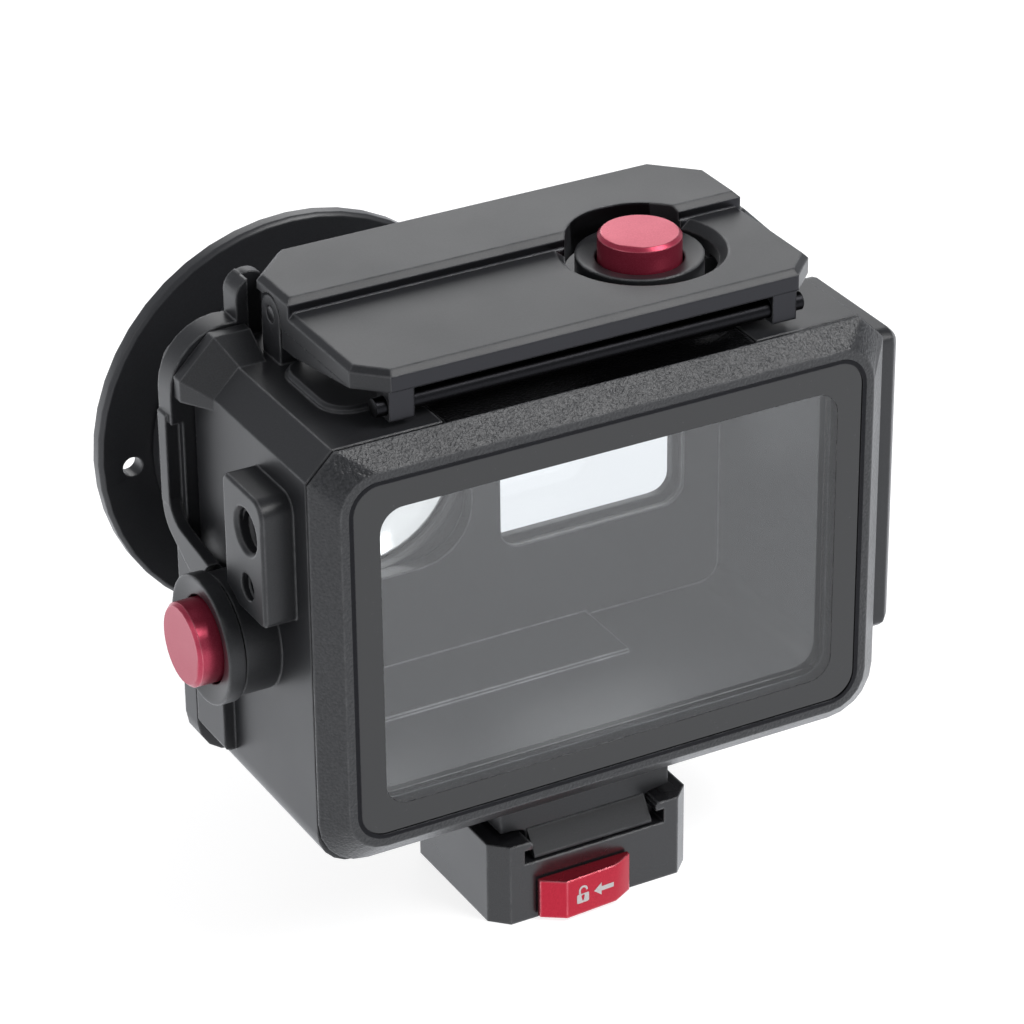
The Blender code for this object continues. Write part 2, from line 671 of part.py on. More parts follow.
def cut_body_spaces(body, finish):
    """Camera bay, door rebate, seal groove, lens tunnel and front screen window."""
    rebate = rounded(2 * (STEP_HALF_X + GAP), 2 * (STEP_HALF_Z + GAP), GLASS_RADIUS + DOOR_STEP_WALL,
                     (0.0, MID_Z))
    cut(body, prism("door_rebate", finish, "Y", rebate, depth(0.0), depth(SHOULDER)))
    bay = rounded(BAY_WIDTH, BAY_HEIGHT, BAY_RADIUS, (0.0, MID_Z))
    cut(body, prism("camera_bay", finish, "Y", bay, depth(0.0), depth(FRONT_WALL_INNER)))
    fuse(body, block("bay_ledge", finish,
                     (-BAY_WIDTH / 2 - BAY_LEDGE, depth(BAY_LEDGE_START), MID_Z - BAY_HEIGHT / 2 - BAY_LEDGE),
                     (BAY_LEDGE_RIGHT, depth(FRONT_WALL_INNER) + BAY_LEDGE, MID_Z - BAY_HEIGHT / 2 + BAY_LEDGE)))

    outer, inner = seal_outlines(GAP)
    groove = prism("seal_groove", finish, "Y", outer, depth(SHOULDER) - GAP,
                   depth(SHOULDER + SEAL_HEIGHT + GAP))
    cut(groove, prism("seal_groove_island", finish, "Y", inner, depth(0.0), depth(FRONT_WALL_INNER)))
    cut(body, groove)

    tunnel = rounded(TUNNEL_SIZE, TUNNEL_SIZE, TUNNEL_RADIUS, (LENS_X, LENS_Z))
    cut(body, prism("lens_tunnel", finish, "Y", tunnel, depth(FRONT_WALL_INNER) - GAP,
                    depth(BODY_FRONT) + GAP))

    seat = rounded(SCREEN_SEAT_SIZE + GAP, SCREEN_SEAT_SIZE + GAP, SCREEN_RADIUS, (SCREEN_X, LENS_Z))
    cut(body, prism("screen_seat", finish, "Y", seat, depth(FRONT_WALL_INNER + SCREEN_LIP), depth(PLATE_FRONT)))
    opening = rounded(SCREEN_SIZE, SCREEN_SIZE, SCREEN_RADIUS, (SCREEN_X, LENS_Z))
    cut(body, prism("screen_opening", finish, "Y", opening, depth(FRONT_WALL_INNER) - GAP, depth(PLATE_FRONT)))


def seal_outlines(clearance):
    """Outer and inner outlines of the door seal, grown by a clearance for its groove."""
    width = BAY_WIDTH + 2 * (SEAL_INSET + SEAL_WIDTH / 2)
    height = BAY_HEIGHT + 2 * (SEAL_INSET + SEAL_WIDTH / 2)
    outer = rounded(width + 2 * clearance, height + 2 * clearance, BAY_RADIUS + SEAL_INSET, (0.0, MID_Z))
    inner = rounded(width - 2 * SEAL_WIDTH - 2 * clearance, height - 2 * SEAL_WIDTH - 2 * clearance,
                    BAY_RADIUS + SEAL_INSET - SEAL_WIDTH, (0.0, MID_Z))
    return outer, inner


def cut_tongue_recess(body, finish):
    """Recess in the body's top for the door's latch tongue."""
    half = TONGUE_WIDTH / 2 + GAP
    cut(body, block("tongue_recess", finish,
                    (-half, depth(BODY_REAR) - GAP, BODY_TOP - TONGUE_THICKNESS - GAP),
                    (half, depth(TONGUE_LIP_REAR + TONGUE_LIP_DEPTH) + GAP, BODY_TOP + DECK_RISE)))


def add_accessory_block(body, finish):
    """Block on the left wall with a tripod thread and a locating hole."""
    low_y = depth(BLOCK_REAR)
    corners = (BLOCK_EDGE, BLOCK_EDGE, BLOCK_EDGE, BLOCK_TOP_CORNER)
    outline = rounded(BLOCK_DEPTH, BLOCK_HEIGHT, corners,
                      (low_y + BLOCK_DEPTH / 2, MID_Z + BLOCK_BOTTOM + BLOCK_HEIGHT / 2), 4)
    face = -WALL_X - BLOCK_PROUD
    fuse(body, loft("accessory_block", finish, "X", [
        (-WALL_X + BLOCK_EDGE, outline), (face + BLOCK_FACE_EDGE, outline),
        (face, inset(outline, BLOCK_FACE_EDGE))]))
    thread = (low_y + THREAD_SETBACK, MID_Z + BLOCK_BOTTOM + BLOCK_HEIGHT - THREAD_BELOW_TOP)
    mouth = THREAD_MOUTH_RADIUS - THREAD_RADIUS
    cut(body, revolve("block_thread", finish, "X", thread, [
        (0.0, face - GAP), (THREAD_MOUTH_RADIUS + GAP, face - GAP), (THREAD_RADIUS, face + mouth),
        (THREAD_RADIUS, face + THREAD_DEPTH), (0.0, face + THREAD_DEPTH)], SMALL_ROUND))
    cut(body, rod("block_locating_hole", finish, "X", (thread[0], thread[1] - LOCATING_SPACING),
                  LOCATING_RADIUS, face - GAP, face + LOCATING_DEPTH))


def screw_places():
    """Axis points and directions of the screws: four for the rail, two for the foot."""
    rail_y = depth(RAIL_REAR + RAIL_DEPTH / 2)
    rail_z = MID_Z + RAIL_BOTTOM + RAIL_LENGTH / 2
    rail = [(rail_y, rail_z + side * RAIL_SCREW_SPACING / 2) for side in (-1, 1)]
    foot_y = depth(FOOT_BEHIND_REAR + FOOT_DEPTH / 2)
    foot = [(0.0, foot_y + side * FOOT_DEPTH / 4) for side in (-1, 1)]
    return rail, foot


def cut_screw_holes(body, finish):
    """Blind holes for the rail's, the foot's and the front plate's screws."""
    rail, foot = screw_places()
    radius = SCREW_SHANK_RADIUS + GAP
    for i, centre in enumerate(rail):
        cut(body, rod(f"rail_screw_hole_{i + 1}", finish, "X", centre, radius,
                      WALL_X - SCREW_GRIP - GAP, WALL_X + PROUD_STEP, SCREW_ROUND), "MANIFOLD")
    for i, centre in enumerate(foot):
        cut(body, rod(f"foot_screw_hole_{i + 1}", finish, "Z", centre, radius,
                      BODY_BOTTOM - GAP, BODY_BOTTOM + SCREW_GRIP + GAP, SCREW_ROUND), "MANIFOLD")
    for i, centre in enumerate(plate_screw_places()):
        cut(body, rod(f"plate_screw_hole_{i + 1}", finish, "Y", centre, radius,
                      depth(BODY_FRONT) - SCREW_GRIP - GAP, depth(PLATE_FRONT), SCREW_ROUND), "MANIFOLD")


def add_button_bases(body, finish):
    """Seats of the two buttons in the body: a bore on top and a round base on the left."""
    top_centre = (SHUTTER_X, depth(SHUTTER_DEPTH))
    cut(body, rod("shutter_gland_bore", finish, "Z", top_centre, GLAND_RADIUS + GAP,
                  MID_Z, BODY_TOP + 2 * DECK_RISE, BUTTON_ROUND))
    side_centre = (depth(SIDE_BUTTON_DEPTH), SIDE_BUTTON_Z)
    face = -WALL_X - SIDE_BASE_LENGTH
    block_face = -WALL_X - BLOCK_PROUD
    cut(body, rod("side_boss_spot_face", finish, "X", side_centre, SIDE_BOSS_RADIUS + GAP,
                  block_face - 2 * GAP, block_face + SPOT_FACE_DEPTH, BUTTON_ROUND))
    fuse(body, rod("side_button_base", finish, "X", side_centre, SIDE_BASE_RADIUS,
                   face, -WALL_X + BLOCK_EDGE, BUTTON_ROUND))
    cut(body, rod("side_gland_bore", finish, "X", side_centre, GLAND_RADIUS + GAP, face - GAP, 0.0,
                  BUTTON_ROUND))


def make_body(finish):
    """The housing body with everything that is cut into it."""
    body = body_solid(finish)
    add_deck_and_ears(body, finish)
    cut_body_spaces(body, finish)
    cut_tongue_recess(body, finish)
    add_body_hinge(body, finish)
    add_accessory_block(body, finish)
    add_button_bases(body, finish)
    cut_screw_holes(body, finish)


def make_button(name, finishes, axis, inward, centre, seat, boss_radius, boss_face, cap_radius, proud,
                reach):
    """Push button along an axis: threaded boss, cap with its stem, spring, stem seal and clip.

    inward is the direction of the press; seat is the body's face that the boss sits on,
    boss_face the boss's outer face and reach the inner end of the stem.
    """
    def level(distance):
        return boss_face + inward * distance

    seat_distance = (seat - boss_face) * inward - GAP
    gland_end = (reach - boss_face) * inward - CLIP_THICKNESS - 2 * GAP
    floor = BUTTON_WELL
    guide = cap_radius + GAP
    dish = boss_radius - DISH_RIM
    seal_radius = STEM_RADIUS + GAP / 2 + STEM_SEAL_WIDTH + GAP
    seal_pocket = gland_end - STEM_SEAL_HEIGHT - GAP
    boss_profile = [(dish, level(0.0)), (boss_radius, level(0.0)), (boss_radius, level(seat_distance)),
            (GLAND_RADIUS, level(seat_distance)), (GLAND_RADIUS, level(gland_end)),
            (seal_radius, level(gland_end)), (seal_radius, level(seal_pocket)),
            (STEM_RADIUS + GAP / 2, level(seal_pocket)), (STEM_RADIUS + GAP / 2, level(floor)),
            (guide, level(floor)), (guide, level(DISH_DEPTH))]
    revolve(name + "_boss", finishes["black"], axis, centre, boss_profile, BUTTON_ROUND)

    skirt = floor - BUTTON_TRAVEL - GAP
    spring_room = SPRING_RADIUS + SPRING_WIRE + GAP
    crown = BUTTON_CROWN - proud
    cap = [(0.0, level(-proud)), (cap_radius - BUTTON_CHAMFER, level(-proud)),
           (cap_radius, level(BUTTON_CHAMFER - proud)), (cap_radius, level(skirt)),
           (spring_room, level(skirt)), (spring_room, level(crown)),
           (STEM_RADIUS, level(crown)), (STEM_RADIUS, level(gland_end + GAP)),
           (CLIP_NECK, level(gland_end + GAP)), (CLIP_NECK, level(gland_end + GAP + CLIP_THICKNESS)),
           (STEM_RADIUS, level(gland_end + GAP + CLIP_THICKNESS)),
           (STEM_RADIUS, level(gland_end + STEM_TIP)), (0.0, level(gland_end + STEM_TIP))]
    button = revolve(name + "_button", finishes["red"], axis, centre, cap, BUTTON_ROUND)
    set_origin(button, place(axis, centre[0], centre[1], boss_face))
    low, high = sorted((level(crown + BUTTON_TRAVEL + GAP), level(floor - GAP)))
    coil(name + "_spring", finishes["steel"], axis, centre, SPRING_RADIUS, SPRING_WIRE, SPRING_TURNS,
         low, high)
    seal_inner = STEM_RADIUS + GAP / 2
    low, high = sorted((level(seal_pocket + GAP), level(gland_end)))
    tube(name + "_stem_seal", finishes["rubber"], axis, centre, seal_inner, seal_inner + STEM_SEAL_WIDTH,
         low, high, SMALL_ROUND)
    clip_low = gland_end + GAP + CLIP_GAP
    low, high = sorted((level(clip_low), level(clip_low + CLIP_THICKNESS - 2 * CLIP_GAP)))
    tube(name + "_clip", finishes["steel"], axis, centre, CLIP_NECK + CLIP_GAP, CLIP_RADIUS, low, high,
         SMALL_ROUND)


def make_buttons(finishes):
    """Shutter button on top and side button on the left."""
    deck = BODY_TOP + DECK_RISE
    make_button("shutter", finishes, "Z", -1, (SHUTTER_X, depth(SHUTTER_DEPTH)), deck, SHUTTER_BOSS_RADIUS,
                BODY_TOP + SHUTTER_BOSS_TOP, SHUTTER_RADIUS, SHUTTER_PROUD,
                MID_Z + BAY_HEIGHT / 2 + CLIP_THICKNESS)
    seat = -WALL_X - SIDE_BASE_LENGTH
    make_button("side", finishes, "X", 1, (depth(SIDE_BUTTON_DEPTH), SIDE_BUTTON_Z), seat, SIDE_BOSS_RADIUS,
                seat - SIDE_BOSS_THICKNESS - GAP, SIDE_BUTTON_RADIUS, SIDE_BUTTON_PROUD,
                -BAY_WIDTH / 2 - CLIP_THICKNESS)


def make_door(finishes):
    """Rear door frame with its glass, seal, hinge knuckle and latch tongue."""
    ring_width = GLASS_WIDTH + 2 * DOOR_RING
    ring_height = GLASS_HEIGHT + 2 * DOOR_RING
    face = rounded(ring_width, ring_height, DOOR_FACE_RADIUS, (0.0, MID_Z))
    rim = frame_outline(BODY_WIDTH, BODY_HEIGHT, DOOR_BOTTOM_RADIUS, DOOR_TOP_CUT, (0.0, MID_Z))
    door = loft("door_frame", finishes["door"], "Y", [
        (depth(0.0), face), (depth(DOOR_BEVEL), rim), (depth(DOOR_THICKNESS), rim)])
    step = rounded(2 * STEP_HALF_X, 2 * STEP_HALF_Z - DOOR_SWING_RELIEF, GLASS_RADIUS + DOOR_STEP_WALL - GAP,
                   (0.0, MID_Z + DOOR_SWING_RELIEF / 2))
    fuse(door, prism("door_step", finishes["door"], "Y", step, depth(DOOR_BEVEL), depth(SHOULDER) - GAP))

    half = TONGUE_WIDTH / 2
    lip_front = TONGUE_LIP_REAR + TONGUE_LIP_DEPTH
    tongue_low = BODY_TOP - TONGUE_THICKNESS
    tongue = [(depth(DOOR_BEVEL - TONGUE_THICKNESS / 2), tongue_low), (depth(lip_front), tongue_low),
              (depth(lip_front), BODY_TOP + TONGUE_LIP_RISE),
              (depth(TONGUE_LIP_REAR), BODY_TOP + TONGUE_LIP_RISE),
              (depth(TONGUE_LIP_REAR), BODY_TOP), (depth(DOOR_BEVEL), BODY_TOP)]
    fuse(door, prism("door_tongue", finishes["door"], "X", tongue, -half, half))

    hinge = (depth(DOOR_HINGE_DEPTH), HINGE_Z)
    knuckle = arc(hinge, KNUCKLE_RADIUS, -90, 90, 8)
    knuckle += [(depth(DOOR_THICKNESS) - GAP, MID_Z - STEP_HALF_Z + GAP), (depth(DOOR_THICKNESS) - GAP, BODY_BOTTOM)]
    half_knuckle = DOOR_KNUCKLE_LENGTH / 2
    fuse(door, prism("door_knuckle", finishes["door"], "X", knuckle, -half_knuckle, half_knuckle))
    cut(door, rod("door_knuckle_bore", finishes["door"], "X", hinge, HINGE_PIN_RADIUS + PIN_CLEARANCE,
                  -half_knuckle - GAP, half_knuckle + GAP))

    recess = rounded(GLASS_WIDTH, GLASS_HEIGHT, GLASS_RADIUS, (0.0, MID_Z))
    recess_floor = GLASS_INSET + GLASS_THICKNESS + GAP
    cut(door, prism("glass_recess", finishes["door"], "Y", recess, depth(-DOOR_RING), depth(recess_floor)))
    window = rounded(WINDOW_WIDTH, WINDOW_HEIGHT, WINDOW_RADIUS, (0.0, MID_Z))
    cut(door, prism("door_window", finishes["door"], "Y", window, depth(0.0), depth(SHOULDER)))
    set_origin(door, (0.0, hinge[0], hinge[1]))

    pane = rounded(GLASS_WIDTH - 2 * GAP, GLASS_HEIGHT - 2 * GAP, GLASS_RADIUS - GAP, (0.0, MID_Z))
    glass = prism("rear_glass", finishes["glass"], "Y", pane, depth(GLASS_INSET),
                  depth(GLASS_INSET + GLASS_THICKNESS))
    set_origin(glass, (0.0, hinge[0], hinge[1]))

    outer, inner = seal_outlines(0.0)
    seal = prism("door_seal", finishes["rubber"], "Y", outer, depth(SHOULDER), depth(SHOULDER + SEAL_HEIGHT))
    cut(seal, prism("door_seal_inside", finishes["rubber"], "Y", inner, depth(0.0), depth(FRONT_WALL_INNER)))

    pin_half = DOOR_KNUCKLE_LENGTH / 2 + GAP + BODY_KNUCKLE_LENGTH
    rod("door_hinge_pin", finishes["steel"], "X", hinge, HINGE_PIN_RADIUS, -pin_half, pin_half)


def make_lever(finishes):
    """Latch lever in two levels, pivoted between the ears, with its latch bar and pins."""
    finish = finishes["black"]
    half = LEVER_WIDTH / 2
    low = cut_rectangle(-half, half, depth(LEVER_REAR), depth(LEVER_FRONT), LEVER_REAR_CUT, LEVER_FRONT_CUT)
    lever = loft("latch_lever", finish, "Z", [
        (LEVER_LOW, low), (LEVER_TOP - LEVER_CHAMFER, low), (LEVER_TOP, inset(low, LEVER_CHAMFER))])
    high = [(-half, depth(LEVER_STEP)), (half, depth(LEVER_STEP)), (half, depth(LEVER_FRONT - LEVER_FRONT_CUT)),
            (half - LEVER_FRONT_CUT, depth(LEVER_FRONT)), (-half + LEVER_FRONT_CUT, depth(LEVER_FRONT)),
            (-half, depth(LEVER_FRONT - LEVER_FRONT_CUT))]
    raised = LEVER_TOP + LEVER_STEP_RISE
    fuse(lever, loft("lever_upper_level", finish, "Z", [
        (LEVER_TOP - LEVER_CHAMFER, high), (raised - LEVER_CHAMFER, high), (raised, inset(high, LEVER_CHAMFER))]))

    pivot = (depth(LEVER_PIVOT_DEPTH), PIVOT_Z)
    hole = (SHUTTER_X, depth(SHUTTER_DEPTH - LEVER_HOLE_SET_BACK))
    outer, inner = half + GAP, half - EAR_THICKNESS - GAP
    room_rear = hole[1] + LEVER_HOLE_RADIUS + LEVER_HOLE_WALL
    room_front = depth(LEVER_FRONT) + GAP
    room = [(-outer, pivot[0]), (-inner, pivot[0]), (-inner, room_rear), (inner, room_rear), (inner, pivot[0]),
            (outer, pivot[0]), (outer, room_front), (-outer, room_front)]
    cut(lever, prism("lever_front_room", finish, "Z", room, LEVER_LOW - GAP, LEVER_TOP))
    ear_room = EAR_RADIUS + GAP
    profile = [(pivot[0] - ear_room, LEVER_LOW - GAP), (pivot[0] + ear_room, LEVER_LOW - GAP)]
    profile += arc(pivot, ear_room, 0, 180, 10)
    for name, side in (("left", -1), ("right", 1)):
        inner_x = side * inner
        room_low, room_high = sorted((side * outer, inner_x))
        cut(lever, prism("lever_ear_room_" + name, finish, "X", profile, room_low, room_high))
        knuckle_low, knuckle_high = sorted((inner_x, inner_x - side * LEVER_KNUCKLE_LENGTH))
        fuse(lever, rod("lever_knuckle_" + name, finish, "X", pivot, EAR_RADIUS, knuckle_low, knuckle_high))
        pin_low, pin_high = sorted((side * half, side * (half - PIVOT_PIN_LENGTH)))
        cut(lever, rod("lever_bore_" + name, finish, "X", pivot, PIVOT_PIN_RADIUS + PIN_CLEARANCE,
                       pin_low - GAP, pin_high + GAP))
        rod("latch_pivot_pin_" + name, finishes["steel"], "X", pivot, PIVOT_PIN_RADIUS, pin_low, pin_high)

    bar_half = LATCH_BAR_WIDTH / 2
    post_half = bar_half + LATCH_POST_WIDTH
    post_rear, post_front = depth(LATCH_POST_REAR), depth(LATCH_POST_REAR + LATCH_POST_DEPTH)
    root = LEVER_LOW + LEVER_CHAMFER
    fuse(lever, block("latch_bar", finish, (-bar_half - GAP, post_front - GAP, LEVER_LOW - LATCH_BAR_DROP),
                      (bar_half + GAP, post_front + LATCH_BAR_DEPTH, root)))
    for name, side in (("left", -1), ("right", 1)):
        low_x, high_x = sorted((side * bar_half, side * post_half))
        fuse(lever, block("latch_post_" + name, finish, (low_x, post_rear, LEVER_LOW - LATCH_POST_DROP),
                          (high_x, post_front, root - GAP)))
    cross = ((post_rear + post_front) / 2, LEVER_LOW - CROSS_PIN_DROP)
    cross_half = post_half + CROSS_PIN_OVERHANG
    cut(lever, rod("cross_pin_bore", finish, "X", cross, CROSS_PIN_RADIUS + PIN_CLEARANCE, -cross_half, cross_half))
    rod("latch_cross_pin", finish, "X", cross, CROSS_PIN_RADIUS, -cross_half, cross_half)

    cut(lever, rod("shutter_hole", finish, "Z", hole, LEVER_HOLE_RADIUS, BODY_TOP, raised + GAP, ROUND))
    chamfer_low = LEVER_TOP - LEVER_HOLE_CHAMFER
    countersink = revolve("shutter_hole_chamfer", finish, "Z", hole, [
        (0.0, chamfer_low - LEVER_CHAMFER), (LEVER_HOLE_RADIUS - LEVER_CHAMFER, chamfer_low - LEVER_CHAMFER),
        (LEVER_HOLE_RADIUS + LEVER_HOLE_CHAMFER + GAP, LEVER_TOP + GAP), (0.0, LEVER_TOP + GAP)])
    cut(countersink, block("shutter_hole_chamfer_limit", finish, (-half, depth(LEVER_STEP) - GAP, LEVER_LOW),
                           (half, depth(LEVER_FRONT), raised)))
    cut(lever, countersink)
    set_origin(lever, (0.0, pivot[0], pivot[1]))


def plate_outline():
    """Front plate's outline: the body's, wider at the sides, with a raised round corner and a lobe."""
    side = WALL_X + PROUD_STEP
    top = BODY_TOP - GAP
    bottom = rounded(2 * side, BODY_HEIGHT, BODY_BOTTOM_RADIUS, (0.0, MID_Z), 4)[:10]
    right = [(side, MID_Z + RIB_TOP), (side - FLARE - PROUD_STEP, top)]
    reach = LEVER_WIDTH / 2 + GAP
    lobe_start = math.degrees(math.acos((PLATE_LOBE_X - reach) / PLATE_LOBE_RADIUS))
    lobe = arc((-PLATE_LOBE_X, BODY_TOP + PLATE_LOBE_RISE), PLATE_LOBE_RADIUS, lobe_start, 180, 6)
    proud = WALL_X + PLATE_CORNER_PROUD
    centre = (PLATE_CORNER_RADIUS - proud, BODY_TOP + PLATE_CORNER_PROUD - PLATE_CORNER_RADIUS)
    start = math.degrees(math.acos((centre[0] + PLATE_LOBE_X + PLATE_LOBE_RADIUS) / -PLATE_CORNER_RADIUS))
    corner = arc(centre, PLATE_CORNER_RADIUS, min(start, 99), 180, 8)
    below = MID_Z + RIB_TOP - PLATE_SHOULDER
    return bottom + right + [(-reach, top)] + lobe + corner + [(-proud, below), (-side, below)]


def slope_point(start, turn, level):
    """Where an edge from a bend that has turned this many degrees from upright comes to a level."""
    return level, start[1] - (start[0] - level) / math.tan(math.radians(turn))


def make_front_plate(finishes):
    """Front plate round the port, with a round corner, a lobe beside the lever and a rib with its web."""
    finish = finishes["black"]
    rear, front = depth(PLATE_REAR), depth(PLATE_FRONT)
    plate = prism("front_plate", finish, "Y", plate_outline(), rear, front)

    lobe_centre = (-PLATE_LOBE_X, BODY_TOP + PLATE_LOBE_RISE)
    lobe_low = BODY_TOP - PLATE_LOBE_RADIUS
    tip = arc(lobe_centre, PLATE_LOBE_RADIUS, 50, 160, 8)
    lobe = [(tip[0][0], lobe_low)] + tip + [(tip[-1][0], lobe_low)]
    fuse(plate, prism("plate_lobe", finish, "Y", lobe, front - PLATE_LOBE_DEPTH, front - GAP))

    lens = (LENS_X, LENS_Z)
    top = BODY_TOP - 2 * GAP
    collar_corner = (LENS_X - PLATE_COLLAR_REACH + PLATE_COLLAR_CORNER, top - PLATE_COLLAR_CORNER)
    collar = arc(lens, PLATE_COLLAR_REACH, 180, 270, 12) + [(LENS_X, top)]
    collar += arc(collar_corner, PLATE_COLLAR_CORNER, 90, 180, 6)
    fuse(plate, prism("plate_collar", finish, "Y", collar, front - PLATE_SHOULDER, front + PLATE_COLLAR))

    edge = WALL_X + RIB_PROUD
    rib = [(-edge + RIB_EDGE, MID_Z + RIB_TOP), (-edge, MID_Z + RIB_TOP - RIB_EDGE), (-edge, MID_Z + RIB_BOTTOM),
           (-WALL_X, MID_Z + RIB_BOTTOM), (-WALL_X, MID_Z + RIB_TOP)]
    rib_rear = front - GAP - RIB_THICKNESS
    fuse(plate, prism("plate_rib", finish, "Y", rib, rib_rear, front - GAP))
    side_button = (depth(SIDE_BUTTON_DEPTH), SIDE_BUTTON_Z)
    web_front = front - GAP - WEB_INSET
    outer = arc((web_front - WEB_OUTER_BEND, MID_Z + WEB_OUTER_START), WEB_OUTER_BEND, 0, -WEB_OUTER_TURN, 6)
    inner = arc((rib_rear + WEB_INSET - WEB_INNER_BEND, MID_Z + WEB_INNER_START), WEB_INNER_BEND,
                0, -WEB_INNER_TURN, 6)
    web = [(web_front, MID_Z + WEB_TOP)] + outer
    web += [slope_point(outer[-1], WEB_OUTER_TURN, side_button[0]),
            slope_point(inner[-1], WEB_INNER_TURN, side_button[0])]
    web += list(reversed(inner)) + [(rib_rear + WEB_INSET, MID_Z + WEB_TOP)]
    web_low, web_high = -edge + WEB_INSET, -WALL_X - PROUD_STEP - GAP
    fuse(plate, prism("plate_web", finish, "X", web, web_low, web_high))
    cut(plate, rod("plate_web_end", finish, "X", side_button, SIDE_BOSS_RADIUS + GAP, web_low - GAP, web_high + GAP,
                   BUTTON_ROUND))

    clear = front + 2 * PLATE_COLLAR
    shoulder = rear + PLATE_SHOULDER
    cut(plate, revolve("plate_bore", finish, "Y", lens, [
        (0.0, rear - GAP), (PORT_BORE, rear - GAP), (PORT_BORE, shoulder), (PORT_SPIGOT_RADIUS + GAP, shoulder),
        (PORT_SPIGOT_RADIUS + GAP, front), (PORT_NECK_RADIUS + GAP, front), (PORT_NECK_RADIUS + GAP, clear),
        (0.0, clear)]))
    hole = SCREEN_SEAT_SIZE + 2 * GAP
    cut(plate, prism("plate_screen_hole", finish, "Y", rounded(hole, hole, SCREEN_RADIUS, (SCREEN_X, LENS_Z)),
                     rear - GAP, front + GAP))
    for i, (x, z) in enumerate(plate_screw_places()):
        cut_screw_seat(plate, f"plate_screw_seat_{i + 1}", "Y", (x, z), clear, front - GAP, rear - GAP)
        screw(f"plate_screw_{i + 1}", finishes["steel"], "Y", (x, z), front - GAP, -1,
              PLATE_THICKNESS - GAP + SCREW_GRIP)


def plate_screw_places():
    """The front plate's four screws, as (x, z)."""
    x = WALL_X - PLATE_SCREW_SIDE
    levels = (BODY_BOTTOM + PLATE_SCREW_ABOVE_BOTTOM, BODY_TOP - PLATE_SCREW_BELOW_TOP)
    return [(side * x, z) for z in levels for side in (-1, 1)]


def screw(name, finish, axis, centre, head_level, inward, length):
    """Cap screw with a socket in its head, from the head's face inwards."""
    def level(distance):
        return head_level + inward * distance

    return revolve(name, finish, axis, centre, [
        (0.0, level(SCREW_DRIVE_DEPTH)), (SCREW_DRIVE_RADIUS, level(SCREW_DRIVE_DEPTH)),
        (SCREW_DRIVE_RADIUS, level(0.0)), (SCREW_HEAD_RADIUS, level(0.0)),
        (SCREW_HEAD_RADIUS, level(SCREW_HEAD_HEIGHT)), (SCREW_SHANK_RADIUS, level(SCREW_HEAD_HEIGHT)),
        (SCREW_SHANK_RADIUS, level(length)), (0.0, level(length))], SCREW_ROUND)


def cut_screw_seat(target, name, axis, centre, mouth, head_level, end):
    """Counterbore for a screw's head with the shank's bore below it, from the mouth to the end level."""
    inward = 1 if end > mouth else -1
    shoulder = head_level + inward * (SCREW_HEAD_HEIGHT + GAP)
    cut(target, revolve(name, target.data.materials[0], axis, centre, [
        (0.0, mouth), (SCREW_HEAD_RADIUS + GAP, mouth), (SCREW_HEAD_RADIUS + GAP, shoulder),
        (SCREW_SHANK_RADIUS + GAP, shoulder), (SCREW_SHANK_RADIUS + GAP, end), (0.0, end)], SCREW_ROUND))


def make_screen(finishes):
    """Front screen window: gasket, pane and the frame that holds it."""
    centre = (SCREEN_X, LENS_Z)
    level = FRONT_WALL_INNER + SCREEN_LIP + GAP
    size = SCREEN_SEAT_SIZE - GAP
    outer = rounded(size, size, SCREEN_RADIUS, centre)
    gasket = prism("screen_gasket", finishes["rubber"], "Y", outer, depth(level), depth(level + SCREEN_GASKET))
    inner = rounded(SCREEN_SIZE + GAP, SCREEN_SIZE + GAP, SCREEN_RADIUS, centre)
    cut(gasket, prism("screen_gasket_inside", finishes["rubber"], "Y", inner, depth(0.0), depth(PORT_FRONT)))
    level += SCREEN_GASKET + GAP
    prism("screen_glass", finishes["glass"], "Y", outer, depth(level), depth(level + SCREEN_GLASS_THICKNESS))
    level += SCREEN_GLASS_THICKNESS + GAP
    frame = prism("screen_frame", finishes["black"], "Y", outer, depth(level), depth(level + SCREEN_FRAME_THICKNESS))
    opening = size - 2 * SCREEN_FRAME_WIDTH
    cut(frame, prism("screen_frame_opening", finishes["black"], "Y",
                     rounded(opening, opening, SCREEN_RADIUS - GAP, centre), depth(0.0), depth(PORT_FRONT)))


